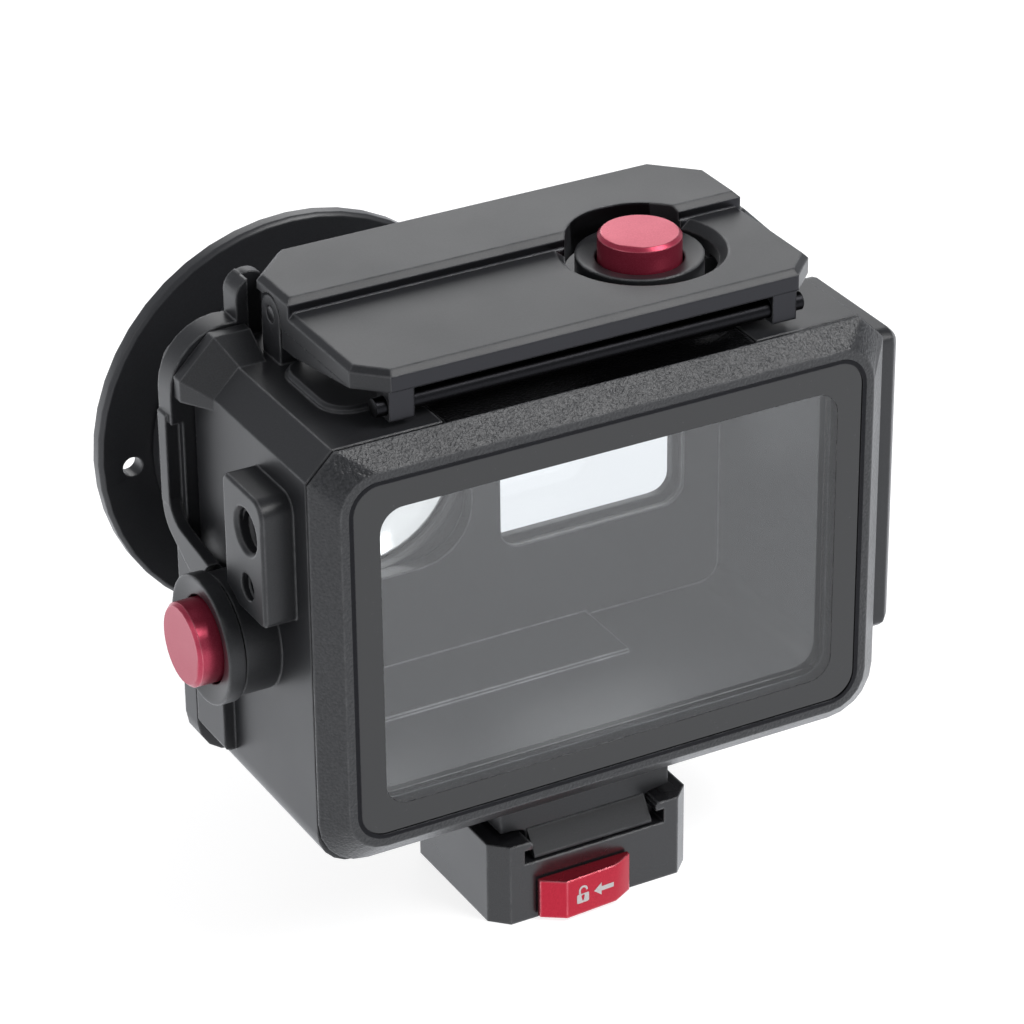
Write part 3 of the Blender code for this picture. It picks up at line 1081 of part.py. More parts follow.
def make_port(finishes):
    """Lens port: barrel with its two seals, the round glass and the filter ring that retains it."""
    lens = (LENS_X, LENS_Z)
    seat = PORT_FRONT - PORT_GLASS_THICKNESS - PORT_SEAL_HEIGHT - 3 * GAP
    barrel = [(PORT_BORE, depth(PORT_REAR - PORT_SPIGOT)), (PORT_SPIGOT_RADIUS, depth(PORT_REAR - PORT_SPIGOT)),
              (PORT_SPIGOT_RADIUS, depth(PORT_REAR)), (PORT_NECK_RADIUS, depth(PORT_REAR)),
              (PORT_NECK_RADIUS, depth(PORT_NECK_END)), (PORT_RADIUS, depth(PORT_CONE_END)),
              (PORT_RADIUS, depth(PORT_FRONT)), (PORT_GLASS_RADIUS + GAP, depth(PORT_FRONT)),
              (PORT_GLASS_RADIUS + GAP, depth(seat)), (PORT_MOUTH_RADIUS, depth(seat)),
              (PORT_BORE, depth(PORT_NECK_END))]
    revolve("port_barrel", finishes["black"], "Y", lens, list(reversed(barrel)))
    tube("spigot_seal", finishes["rubber"], "Y", lens, PORT_SPIGOT_RADIUS - SPIGOT_SEAL_WIDTH, PORT_SPIGOT_RADIUS,
         depth(PLATE_REAR + PLATE_SHOULDER + GAP), depth(PLATE_REAR + PLATE_SHOULDER + GAP + SPIGOT_SEAL_HEIGHT))
    tube("port_seal", finishes["rubber"], "Y", lens, PORT_GLASS_RADIUS - PORT_SEAL_WIDTH, PORT_GLASS_RADIUS,
         depth(seat + GAP), depth(seat + GAP + PORT_SEAL_HEIGHT))
    pane = seat + PORT_SEAL_HEIGHT + 2 * GAP
    rod("port_glass", finishes["glass"], "Y", lens, PORT_GLASS_RADIUS, depth(pane),
        depth(pane + PORT_GLASS_THICKNESS), ROUND)
    rear = PORT_FRONT + GAP
    recess = RING_RADIUS - RING_RIM
    ring = revolve("filter_ring", finishes["black"], "Y", lens, [
        (RING_BORE, depth(rear)), (RING_BORE, depth(RING_FRONT - RING_FILTER_DEPTH)),
        (recess, depth(RING_FRONT - RING_FILTER_DEPTH)), (recess, depth(RING_FRONT)),
        (RING_RADIUS - RING_EDGE, depth(RING_FRONT)), (RING_RADIUS, depth(RING_FRONT - RING_EDGE)),
        (RING_RADIUS, depth(rear + RING_EDGE)), (RING_RADIUS - RING_EDGE, depth(rear))])
    hole = (LENS_X - RING_RADIUS + TETHER_INSET, LENS_Z - TETHER_DROP)
    cut(ring, rod("tether_hole", finishes["black"], "Y", hole, TETHER_RADIUS, depth(rear - GAP),
                  depth(RING_FRONT + GAP)))


def make_rail(finishes):
    """Accessory rail on the right wall, with its screws and threaded holes."""
    finish = finishes["black"]
    low_x = WALL_X + GAP
    high_x = low_x + RAIL_THICKNESS
    rail_y = depth(RAIL_REAR + RAIL_DEPTH / 2)
    rail_z = MID_Z + RAIL_BOTTOM + RAIL_LENGTH / 2
    outline = rounded(RAIL_DEPTH, RAIL_LENGTH, RAIL_CHAMFER, (rail_y, rail_z), 3)
    edge = RAIL_CHAMFER / 2
    rail = loft("accessory_rail", finish, "X", [
        (low_x, outline), (high_x - edge, outline), (high_x, inset(outline, edge))])
    for i, side in enumerate((-1, 1)):
        centre = (rail_y, rail_z + side * RAIL_SCREW_SPACING / 2)
        cut_screw_seat(rail, f"rail_screw_seat_{i + 1}", "X", centre, high_x + GAP, high_x - GAP, low_x - GAP)
        screw(f"rail_screw_{i + 1}", finishes["steel"], "X", centre, high_x - GAP, -1,
              RAIL_THICKNESS + SCREW_GRIP - GAP)
        thread = (rail_y, rail_z + side * RAIL_THREAD_SPACING / 2)
        cut(rail, rod(f"rail_thread_{i + 1}", finish, "X", thread, THREAD_RADIUS, low_x - GAP, high_x + GAP))


def make_foot(finishes):
    """Foot under the housing that the base's hooks hold, with its two screws."""
    finish = finishes["black"]
    half, lower = FOOT_WIDTH / 2, FOOT_LOWER_WIDTH / 2
    hook_low = BASE_RAIL_TOP - RAIL_HOOK_HEIGHT - GAP
    right = [(lower, FOOT_BOTTOM), (lower, hook_low), (NECK_HALF, hook_low), (NECK_HALF, BASE_RAIL_TOP)]
    right += [(NECK_HALF + (half - NECK_HALF) * (1 - math.cos(math.radians(a))),
               BASE_RAIL_TOP + (FOOT_STEP - BASE_RAIL_TOP) * math.sin(math.radians(a))) for a in (30, 60, 90)]
    right += [(half, FOOT_TOP)]
    outline = right + [(-x, z) for x, z in reversed(right)]
    foot = prism("mount_foot", finish, "Y", outline, FOOT_Y - FOOT_DEPTH / 2, FOOT_Y + FOOT_DEPTH / 2)
    _, places = screw_places()
    for i, centre in enumerate(places):
        cut_screw_seat(foot, f"foot_screw_seat_{i + 1}", "Z", centre, FOOT_BOTTOM - GAP, FOOT_BOTTOM + GAP,
                       FOOT_TOP + GAP)
        screw(f"foot_screw_{i + 1}", finishes["steel"], "Z", centre, FOOT_BOTTOM + GAP, 1,
              FOOT_TOP - FOOT_BOTTOM + SCREW_GRIP - GAP)


def make_base(finishes):
    """Quick-release base: hooked rails, a stop wall at the front and the room for the release."""
    finish = finishes["black"]
    half, low_y, high_y = BASE_WIDTH / 2, BASE_REAR, BASE_DEPTH / 2
    outline = [(-half + BASE_CORNER_CUT, low_y), (half - BASE_CORNER_CUT, low_y), (half, low_y + BASE_CORNER_CUT),
               (half, high_y), (-half, high_y), (-half, low_y + BASE_CORNER_CUT)]
    base = prism("quick_release_base", finish, "Z", outline, 0.0, BASE_RAIL_TOP)
    channel = FOOT_LOWER_WIDTH / 2 + GAP
    neck = NECK_HALF + GAP
    hook = BASE_RAIL_TOP - RAIL_HOOK_HEIGHT
    slot = [(channel, BASE_FLOOR), (channel, hook), (neck, hook), (neck, BASE_RAIL_TOP - RAIL_HOOK_EDGE),
            (neck + RAIL_HOOK_EDGE, BASE_RAIL_TOP), (neck + RAIL_HOOK_EDGE, BASE_RAIL_TOP + GAP)]
    slot += [(-x, z) for x, z in reversed(slot)]
    cut(base, prism("base_channel", finish, "Y", slot, low_y - GAP, high_y - BASE_STOP_WALL))

    mechanism_right = SLIDER_X + CARRIAGE_WIDTH / 2 + GAP
    cut(base, block("mechanism_room", finish, (MECHANISM_LEFT, MECHANISM_Y, -GAP),
                    (mechanism_right, MECHANISM_Y + MECHANISM_DEPTH, MECHANISM_TOP)))
    neck_half = NECK_WIDTH / 2 + GAP
    neck_z = NECK_HEIGHT / 2 + GAP
    cut(base, block("neck_window", finish, (SLIDER_X - neck_half - SLIDER_TRAVEL, low_y - GAP, SLIDER_Z - neck_z),
                    (SLIDER_X + neck_half, MECHANISM_Y + GAP, SLIDER_Z + neck_z)))
    bolt = LOCK_BOLT_RADIUS + GAP
    bolt_y = MECHANISM_Y + GAP + CARRIAGE_DEPTH / 2
    cut(base, block("bolt_slot", finish, (SLIDER_X - bolt - SLIDER_TRAVEL, bolt_y - bolt, MECHANISM_TOP - GAP),
                    (SLIDER_X + bolt, bolt_y + bolt, BASE_FLOOR + GAP)))
    cover_low_x, cover_high_x = MECHANISM_LEFT - COVER_LIP, mechanism_right + COVER_LIP
    cover_low_y, cover_high_y = MECHANISM_Y - COVER_LIP, MECHANISM_Y + MECHANISM_DEPTH + COVER_LIP
    cut(base, block("cover_seat", finish, (cover_low_x, cover_low_y, -GAP),
                    (cover_high_x, cover_high_y, COVER_THICKNESS + GAP)))
    block("base_cover", finish, (cover_low_x + GAP, cover_low_y + GAP, GAP / 2),
          (cover_high_x - GAP, cover_high_y - GAP, COVER_THICKNESS))
    for name, side in (("left", -1), ("right", 1)):
        cut(base, rod("base_socket_" + name, finish, "Z", (side * SOCKET_SPACING / 2, SOCKET_AHEAD), SOCKET_RADIUS,
                      -GAP, SOCKET_DEPTH))


def make_release(finishes):
    """Red release slider with its carriage, the lock bolt on it and its spring."""
    rear = BASE_REAR - GAP
    outline = [(SLIDER_LEFT, rear), (SLIDER_LEFT, rear - SLIDER_RIM),
               (SLIDER_LEFT + SLIDER_LEFT_SLOPE, rear - SLIDER_LEFT_RISE),
               (SLIDER_RIGHT - SLIDER_RIGHT_SLOPE, rear - SLIDER_RIGHT_RISE),
               (SLIDER_RIGHT, rear - SLIDER_RIM), (SLIDER_RIGHT, rear)]
    slider = prism("release_slider", finishes["red"], "Z", outline, SLIDER_BOTTOM, SLIDER_BOTTOM + SLIDER_HEIGHT)
    carriage_y = MECHANISM_Y + GAP
    fuse(slider, block("slider_neck", finishes["red"],
                       (SLIDER_X - NECK_WIDTH / 2, rear - GAP, SLIDER_Z - NECK_HEIGHT / 2),
                       (SLIDER_X + NECK_WIDTH / 2, carriage_y + GAP, SLIDER_Z + NECK_HEIGHT / 2)))
    carriage_low = COVER_THICKNESS + 2 * GAP
    fuse(slider, block("slider_carriage", finishes["red"],
                       (SLIDER_X - CARRIAGE_WIDTH / 2, carriage_y, carriage_low),
                       (SLIDER_X + CARRIAGE_WIDTH / 2, carriage_y + CARRIAGE_DEPTH, carriage_low + CARRIAGE_HEIGHT)))
    bolt = (SLIDER_X, carriage_y + CARRIAGE_DEPTH / 2)
    cut(slider, rod("slider_bolt_bore", finishes["red"], "Z", bolt, LOCK_BOLT_RADIUS + PIN_CLEARANCE,
                    carriage_low + CARRIAGE_HEIGHT / 2, carriage_low + CARRIAGE_HEIGHT + GAP))
    set_origin(slider, (SLIDER_X, rear, SLIDER_Z))
    rod("lock_bolt", finishes["steel"], "Z", bolt, LOCK_BOLT_RADIUS,
        carriage_low + CARRIAGE_HEIGHT / 2 + PIN_CLEARANCE, BASE_FLOOR)
    coil("release_spring", finishes["steel"], "X", (bolt[1], carriage_low + CARRIAGE_HEIGHT / 2),
         RELEASE_SPRING_RADIUS, RELEASE_SPRING_WIRE, RELEASE_SPRING_TURNS, MECHANISM_LEFT + GAP,
         SLIDER_X - CARRIAGE_WIDTH / 2 - SLIDER_TRAVEL - GAP)


def build():
    """All of the pieces."""
    clear_scene()
    finishes = make_finishes()
    make_body(finishes["black"])
    make_front_plate(finishes)
    make_screen(finishes)
    make_port(finishes)
    make_buttons(finishes)
    make_door(finishes)
    make_lever(finishes)
    make_rail(finishes)
    make_foot(finishes)
    make_base(finishes)
    make_release(finishes)


build()
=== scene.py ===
"""Looks of an action camera dive housing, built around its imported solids.

The solids come in as a fixed frame. Each sub-assembly is a class that dresses its solids: it
softens the machined edges, gives every solid its finish and adds the small forms that the solids
leave out, such as threads, the printed border of the rear glass and the signs on the release
slider. Lengths are in millimetres in the fields and in metres in the meshes.
"""

import logging
import math
from dataclasses import dataclass, field, replace
from enum import Enum

import bmesh
import bpy
from mathutils import Matrix, Vector


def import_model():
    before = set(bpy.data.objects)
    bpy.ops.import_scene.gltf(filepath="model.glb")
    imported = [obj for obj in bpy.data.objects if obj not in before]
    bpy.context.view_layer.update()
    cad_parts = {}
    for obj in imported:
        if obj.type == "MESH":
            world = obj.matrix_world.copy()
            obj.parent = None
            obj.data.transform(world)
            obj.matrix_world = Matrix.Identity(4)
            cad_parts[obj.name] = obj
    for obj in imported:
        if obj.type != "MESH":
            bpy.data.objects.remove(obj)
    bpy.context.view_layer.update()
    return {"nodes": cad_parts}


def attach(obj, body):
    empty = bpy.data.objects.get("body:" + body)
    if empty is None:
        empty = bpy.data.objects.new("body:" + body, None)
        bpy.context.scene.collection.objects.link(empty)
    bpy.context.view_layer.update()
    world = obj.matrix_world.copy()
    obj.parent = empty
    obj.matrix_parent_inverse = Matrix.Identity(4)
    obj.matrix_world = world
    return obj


log = logging.getLogger("dive_housing")

MM = 0.001

Point = tuple[float, float]
Triple = tuple[float, float, float]
Colour = tuple[float, float, float, float]
Outline = list[Point]
Socket = bpy.types.NodeSocket
Sockets = bpy.types.bpy_prop_collection


class Axis(Enum):
    """Direction that a piece runs along, by its place among x, y and z."""

    X = 0
    Y = 1
    Z = 2


class Finish(Enum):
    """The finishes of the real object, by the name of their material."""

    ANODISED = "satin_black_anodising"
    BLASTED = "blasted_black_anodising"
    TURNED = "turned_black_anodising"
    BASE = "polished_black_anodising"
    OXIDE = "black_oxide_steel"
    RED = "red_anodising"
    STEEL = "stainless_steel"
    RUBBER = "black_rubber"
    GLASS = "clear_pane"
    PRINT = "black_glass_print"
    SIGN = "white_print"


class Variant(Enum):
    """What a piece's own version of a finish adds to it, by the end of the material's name."""

    PLAIN = ""
    # A room with a painted highlight on its edges.
    WITH_ROOM_HIGHLIGHTS = "_with_room_highlights"
    # Versions with shade painted on the faces that look rearwards or upwards.
    PAINTED_SHADE_REAR = "_painted_shade_rear"
    PAINTED_SHADE_TOP = "_painted_shade_top"
    BRIGHT_BORE = "_bright_bore"
    TOP_BUTTON = "_top_button"
    SIDE_BUTTON = "_side_button"


class Effect(Enum):
    """The surface effects that more than one finish uses, by the name of their node group."""

    GRAIN = "etched_grain"
    # The edge mask marks thin anodising and a painted highlight alike.
    WEAR_AND_HIGHLIGHT = "edge_wear_and_highlight"
    RINGS = "turned_rings"
    MARKS = "handling_marks"


# Shader helpers


class Graph:
    """Short ways to add and join nodes in one shader tree."""

    def __init__(self, tree: bpy.types.NodeTree) -> None:
        """Hold the tree that the nodes go into."""
        self.tree = tree

    def feed(self, socket: Socket, value: object) -> None:
        """Join a socket to another one, or set its own value.

        Args:
            socket: The input to set.
            value: Another node's output, or a plain value.
        """
        if isinstance(value, bpy.types.NodeSocket):
            self.tree.links.new(value, socket)
        else:
            socket.default_value = value

    def add(self, kind: str, values: dict | None = None, **settings: object) -> bpy.types.Node:
        """Add one node.

        Args:
            kind: The node's type, without its ShaderNode prefix.
            values: Input name or number to value or output.
            settings: The node's own properties.

        Returns:
            The new node.
        """
        node = self.tree.nodes.new("ShaderNode" + kind)
        for name, value in settings.items():
            setattr(node, name, value)
        for name, value in (values or {}).items():
            self.feed(node.inputs[name], value)
        return node

    def work_out(self, operation: str, *values: object, clamp: bool = False) -> Socket:
        """Add a Math node.

        Args:
            operation: The node's operation.
            values: Its inputs, in order.
            clamp: Keep the result between 0 and 1.

        Returns:
            Its output.
        """
        node = self.add("Math", dict(enumerate(values)), operation=operation, use_clamp=clamp)
        return node.outputs[0]

    def vectors(self, operation: str, *values: object) -> Socket:
        """Add a Vector Math node.

        Args:
            operation: The node's operation.
            values: Its inputs, in order.

        Returns:
            Its vector, or its number where the operation gives one.
        """
        node = self.add("VectorMath", dict(enumerate(values)), operation=operation)
        return node.outputs["Value" if operation in ("DOT_PRODUCT", "LENGTH") else "Vector"]

    def noise(self, place: Socket, scale: object, detail: float, roughness: float = 0.5,
              distortion: float = 0.0) -> Socket:
        """Add a Noise Texture in space.

        Args:
            place: Where it is read.
            scale: Its scale, or an output that gives it.
            detail: How many finer layers it has.
            roughness: How strong the finer layers are.
            distortion: How far it is pushed about.

        Returns:
            Its grey value.
        """
        node = self.add("TexNoise", {"Vector": place, "Scale": scale, "Detail": detail,
                                     "Roughness": roughness, "Distortion": distortion})
        return node.outputs["Fac"]

    def cells(self, place: Socket, scale: object) -> Socket:
        """Add a Voronoi Texture and give the distance to its nearest point."""
        node = self.add("TexVoronoi", {"Vector": place, "Scale": scale}, feature="F1")
        return node.outputs["Distance"]

    def remap(self, value: Socket, low: float, high: float, to_low: float = 0.0,
              to_high: float = 1.0) -> Socket:
        """Add a clamped Map Range node.

        Args:
            value: What is mapped.
            low: Start of the range it comes in.
            high: End of that range.
            to_low: What the start becomes.
            to_high: What the end becomes.

        Returns:
            The mapped value.
        """
        node = self.add("MapRange", {"Value": value, "From Min": low, "From Max": high,
                                     "To Min": to_low, "To Max": to_high})
        return node.outputs["Result"]

    def blend(self, factor: object, first: object, second: object) -> Socket:
        """Mix two colours.

        Args:
            factor: 0 for the first and 1 for the second.
            first: Colour or output.
            second: Colour or output.

        Returns:
            The mixed colour.
        """
        node = self.add("Mix", {0: factor, 6: first, 7: second}, data_type="RGBA")
        return node.outputs[2]

    def slide(self, mask: Socket, first: float, second: float) -> Socket:
        """A number that goes from the first to the second as a mask goes from 0 to 1."""
        return self.remap(mask, 0.0, 1.0, first, second)


def start_material(name: str) -> tuple[bpy.types.Material, Graph, bpy.types.Node, Socket]:
    """Start a material.

    Args:
        name: The material's name.

    Returns:
        The material, its graph, its main shader and the place on the object.
    """
    made = bpy.data.materials.new(name)
    made.use_nodes = True
    graph = Graph(made.node_tree)
    shader = made.node_tree.nodes["Principled BSDF"]
    return made, graph, shader, graph.add("TexCoord").outputs["Object"]


class Effects:
    """Node groups of the surface effects, each built once."""

    GRAIN_SPECKLES = (0.35, 0.72)
    GRAIN_PATCHES = (0.3, 0.7)
    GRAIN_PITS = 0.5
    EDGE_SAMPLES = 4
    EDGE_LIKENESS = (0.995, 0.90)
    WEAR_BREAK = (0.35, 0.65)
    WEAR_LEAST = 0.35
    FILM_PATCHES = (0.42, 0.75)
    SPECK_REACH = (0.10, 0.05)

    def __init__(self) -> None:
        """Build the four effects."""
        self.trees = {Effect.GRAIN: self._grain(), Effect.WEAR_AND_HIGHLIGHT: self._wear_and_highlight(),
                      Effect.RINGS: self._rings(), Effect.MARKS: self._marks()}

    def place(self, effect: Effect, graph: Graph, values: dict) -> Sockets:
        """Place an effect in a graph.

        Args:
            effect: The effect.
            graph: The graph that it goes into.
            values: Its inputs by name.

        Returns:
            Its outputs by name.
        """
        node = graph.tree.nodes.new("ShaderNodeGroup")
        node.node_tree = self.trees[effect]
        for name, value in values.items():
            graph.feed(node.inputs[name], value)
        return node.outputs

    def _group(self, effect: Effect, inputs: dict[str, tuple[str, object]],
               outputs: dict[str, str]) -> tuple[Graph, Sockets, Sockets]:
        """Start a node group that reads a place, with named sockets.

        Args:
            effect: The effect that it makes.
            inputs: Further socket name to its type and value.
            outputs: Socket name to its type.

        Returns:
            The group's graph, the sockets that its inputs come from and those of its outputs.
        """
        tree = bpy.data.node_groups.new(effect.value, "ShaderNodeTree")
        for label, (kind, value) in {"Vector": ("Vector", (0, 0, 0)), **inputs}.items():
            socket = tree.interface.new_socket(label, in_out="INPUT",
                                               socket_type="NodeSocket" + kind)
            socket.default_value = value
        for label, kind in outputs.items():
            tree.interface.new_socket(label, in_out="OUTPUT", socket_type="NodeSocket" + kind)
        source, sink = tree.nodes.new("NodeGroupInput"), tree.nodes.new("NodeGroupOutput")
        return Graph(tree), source.outputs, sink.inputs

    def _grain(self) -> bpy.types.NodeTree:
        """Fine etched grain with slow patches of shade.

        Returns:
            The node group.
        """
        graph, given, gives = self._group(
            Effect.GRAIN, {"Grain": ("Float", 6000.0), "Patch": ("Float", 90.0)},
            {"Height": "Float", "Speckle": "Float", "Shade": "Float"})
        fine = graph.noise(given["Vector"], given["Grain"], detail=2.0, roughness=0.65)
        slow = graph.noise(given["Vector"], given["Patch"], detail=3.0, roughness=0.55)
        pits = graph.work_out("MULTIPLY", graph.cells(given["Vector"], given["Grain"]),
                              self.GRAIN_PITS)
        graph.feed(gives["Height"], graph.work_out("ADD", fine, pits))
        graph.feed(gives["Speckle"], graph.remap(fine, *self.GRAIN_SPECKLES))
        graph.feed(gives["Shade"], graph.remap(slow, *self.GRAIN_PATCHES))
        return graph.tree

    def _wear_and_highlight(self) -> bpy.types.NodeTree:
        """Mask of the edges where anodising is thinner, which also carry a painted highlight, and
        the normal of a rounded edge.

        Returns:
            The node group.
        """
        graph, given, gives = self._group(
            Effect.WEAR_AND_HIGHLIGHT, {"Width": ("Float", 0.3 * MM), "Break": ("Float", 500.0)},
            {"Mask": "Float", "Normal": "Vector"})
        softened = graph.add("Bevel", {"Radius": given["Width"]},
                             samples=self.EDGE_SAMPLES).outputs["Normal"]
        likeness = graph.vectors("DOT_PRODUCT", softened,
                                 graph.add("NewGeometry").outputs["Normal"])
        edge = graph.remap(likeness, *self.EDGE_LIKENESS)
        noise = graph.noise(given["Vector"], given["Break"], detail=3.0, roughness=0.6)
        patchy = graph.remap(noise, *self.WEAR_BREAK, self.WEAR_LEAST, 1.0)
        graph.feed(gives["Mask"], graph.work_out("MULTIPLY", edge, patchy, clamp=True))
        graph.feed(gives["Normal"], softened)
        return graph.tree

    def _rings(self) -> bpy.types.NodeTree:
        """Fine rings of a lathe's tool round an axis, where Across has a 0 for that axis.

        Returns:
            The node group.
        """
        graph, given, gives = self._group(
            Effect.RINGS, {"Centre": ("Vector", (0, 0, 0)), "Across": ("Vector", (1, 1, 0)),
                           "Lines": ("Float", 3000.0)},
            {"Height": "Float"})
        away = graph.vectors("SUBTRACT", given["Vector"], given["Centre"])
        flat = graph.vectors("MULTIPLY", away, given["Across"])
        run = graph.add("TexNoise", {"W": graph.vectors("LENGTH", flat), "Scale": given["Lines"],
                                     "Detail": 2.0, "Roughness": 0.7}, noise_dimensions="1D")
        graph.feed(gives["Height"], run.outputs["Fac"])
        return graph.tree

    def _marks(self) -> bpy.types.NodeTree:
        """Very light handling marks and dust specks for clear and polished faces.

        Returns:
            The node group.
        """
        graph, given, gives = self._group(
            Effect.MARKS, {"Film": ("Float", 60.0), "Speck": ("Float", 900.0)},
            {"Film": "Float", "Specks": "Float"})
        film = graph.noise(given["Vector"], given["Film"], detail=5.0, roughness=0.6,
                           distortion=0.6)
        specks = graph.cells(given["Vector"], given["Speck"])
        graph.feed(gives["Film"], graph.remap(film, *self.FILM_PATCHES))
        graph.feed(gives["Specks"], graph.remap(specks, *self.SPECK_REACH))
        return graph.tree


# Finishes


@dataclass(frozen=True)
class Lathe:
    """Axis that a piece was turned about: a point on it, and a 0 for it among ones."""

    centre: Triple
    across: Triple

    def away(self, graph: Graph, place: Socket) -> Socket:
        """The way from the axis to a place, flat across the axis."""
        from_centre = graph.vectors("SUBTRACT", place, in_metres(self.centre))
        return graph.vectors("MULTIPLY", from_centre, self.across)


def in_metres(place: Triple) -> Triple:
    """A place in millimetres as metres."""
    return tuple(value * MM for value in place)


# Edge colour: lighter where thin anodising is rubbed through, and partly a painted highlight along
# the edges.
WORN_AND_HIGHLIT_BLACK = (0.16, 0.162, 0.168)
# Painted shade: near black without sheen on faces that stand in shadow.
PAINTED_SHADE_BLACK = (0.032, 0.032, 0.035, 1)
# Painted highlight on the edges inside the camera's room.
PAINTED_EDGE_HIGHLIGHT = (0.34, 0.34, 0.35, 1)
BARE_BORE = (0.86, 0.87, 0.88, 1)
FACING_ONE_WAY = 0.8
REARWARDS = (0.0, -1.0, 0.0)
UPWARDS = (0.0, 0.0, 1.0)
LENS = (-18.0, 56.5)
LENS_LATHE = Lathe((LENS[0], 0.0, LENS[1]), (1.0, 0.0, 1.0))
SHUTTER_LATHE = Lathe((15.6, 4.3, 0.0), (1.0, 1.0, 0.0))
SIDE_LATHE = Lathe((0.0, 4.1, 48.15), (0.0, 1.0, 1.0))
CAMERA_ROOM = ((-35.8, -10.6, 27.6), (35.8, 17.75, 73.0))


@dataclass(frozen=True)
class MetalFinish:
    """One anodised or bare metal finish.

    Attributes:
        finish: Which finish it is.
        colour: Its main colour.
        lighter: The colour of its speckles.
        roughness: Its middle roughness.
        swing: How far the roughness goes either way in patches.
        grain: Scale of the etched grain.
        bump: Strength of the grain's relief.
        wear_width: Width of the rubbed edges, which also get a painted highlight.
        worn_and_highlit: Their colour, lighter for thin anodising and partly a painted highlight.
        metallic: How metallic it is.
        specular: Level of the sheen.
        bump_depth: Depth of the grain's relief.
        lathe: The axis of its tool marks, if it was turned.
        bright_bore: Whether the faces towards that axis are bare metal.
        room: Two corners of a room with smooth walls and a painted highlight on its edges.
        painted_shade_towards: The way that its faces look where shade is painted on them in deep
            black.
        variant: What sets this version apart.
        patch: Scale of the patches of shade.
        wear_break: Scale of the noise that breaks up the rubbed edges and their painted highlight.
        polish: How much smoother the rubbed edges are.
        ring_lines: Scale of the tool marks.
        grain_in_rings: How much of the grain stays under tool marks.
        bore_roughness: How rough a bare bore is beside the rest.
    """

    finish: Finish
    colour: Triple
    lighter: Triple
    roughness: float
    swing: float
    grain: float
    bump: float
    wear_width: float
    worn_and_highlit: Triple = WORN_AND_HIGHLIT_BLACK
    metallic: float = 0.0
    specular: float = 0.5
    bump_depth: float = 0.02
    lathe: Lathe | None = None
    bright_bore: bool = False
    room: tuple[Triple, Triple] | None = None
    painted_shade_towards: Triple | None = None
    variant: Variant = Variant.PLAIN
    patch: float = 70.0
    wear_break: float = 420.0
    polish: float = 0.55
    ring_lines: float = 2600.0
    grain_in_rings: float = 0.35
    bore_roughness: float = 0.5

    def build(self, effects: Effects) -> bpy.types.Material:
        """Make the material.

        Args:
            effects: The shared node groups.

        Returns:
            The finished material.
        """
        made, graph, shader, place = start_material(self.finish.value + self.variant.value)
        grain = effects.place(Effect.GRAIN, graph, {
            "Vector": place, "Grain": self.grain, "Patch": self.patch})
        wear_and_highlight = effects.place(Effect.WEAR_AND_HIGHLIGHT, graph, {
            "Vector": place, "Width": self.wear_width * MM, "Break": self.wear_break})

        speckled = graph.blend(grain["Speckle"], (*self.colour, 1), (*self.lighter, 1))
        # Edges take a lighter colour: partly thin anodising rubbed through, partly a painted
        # highlight.
        graph.feed(shader.inputs["Base Color"],
                   graph.blend(wear_and_highlight["Mask"], speckled, (*self.worn_and_highlit, 1)))

        patchy = graph.slide(grain["Shade"], self.roughness - self.swing,
                             self.roughness + self.swing)
        polished = graph.work_out("MULTIPLY", wear_and_highlight["Mask"], self.polish * self.roughness)
        graph.feed(shader.inputs["Roughness"],
                   graph.work_out("SUBTRACT", patchy, polished, clamp=True))

        height = grain["Height"]
        if self.lathe is not None:
            rings = effects.place(Effect.RINGS, graph, {
                "Vector": place, "Centre": in_metres(self.lathe.centre),
                "Across": self.lathe.across, "Lines": self.ring_lines})
            kept = graph.work_out("MULTIPLY", height, self.grain_in_rings)
            height = graph.work_out("ADD", kept, rings["Height"])
        bump = graph.add("Bump", {"Height": height, "Strength": self.bump,
                                  "Distance": self.bump_depth * MM, "Normal": wear_and_highlight["Normal"]})
        graph.feed(shader.inputs["Normal"], bump.outputs["Normal"])
        shader.inputs["Metallic"].default_value = self.metallic
        shader.inputs["Specular IOR Level"].default_value = self.specular
        if self.bright_bore:
            self._brighten_bore(graph, shader, place)
        if self.room is not None:
            self._smooth_room_with_painted_highlights(graph, shader, bump, wear_and_highlight["Mask"], place)
        if self.painted_shade_towards is not None:
            self._paint_shade_on_faces(graph, shader)
        return made

    def _recolour(self, graph: Graph, shader: bpy.types.Node, mask: Socket,
                  colour: Colour) -> None:
        """Give the masked part another colour."""
        before = shader.inputs["Base Color"].links[0].from_socket
        graph.feed(shader.inputs["Base Color"], graph.blend(mask, before, colour))

    def _paint_shade_on_faces(self, graph: Graph, shader: bpy.types.Node) -> None:
        """Paint shade on the faces that look one way: deep black with hardly a sheen.

        Args:
            graph: The material's graph.
            shader: Its main shader.
        """
        facing = graph.vectors("DOT_PRODUCT", graph.add("TexCoord").outputs["Normal"],
                               self.painted_shade_towards)
        # Painted shade on the faces that look this way.
        painted_shade = graph.work_out("GREATER_THAN", facing, FACING_ONE_WAY)
        self._recolour(graph, shader, painted_shade, PAINTED_SHADE_BLACK)
        graph.feed(shader.inputs["Metallic"], painted_shade)

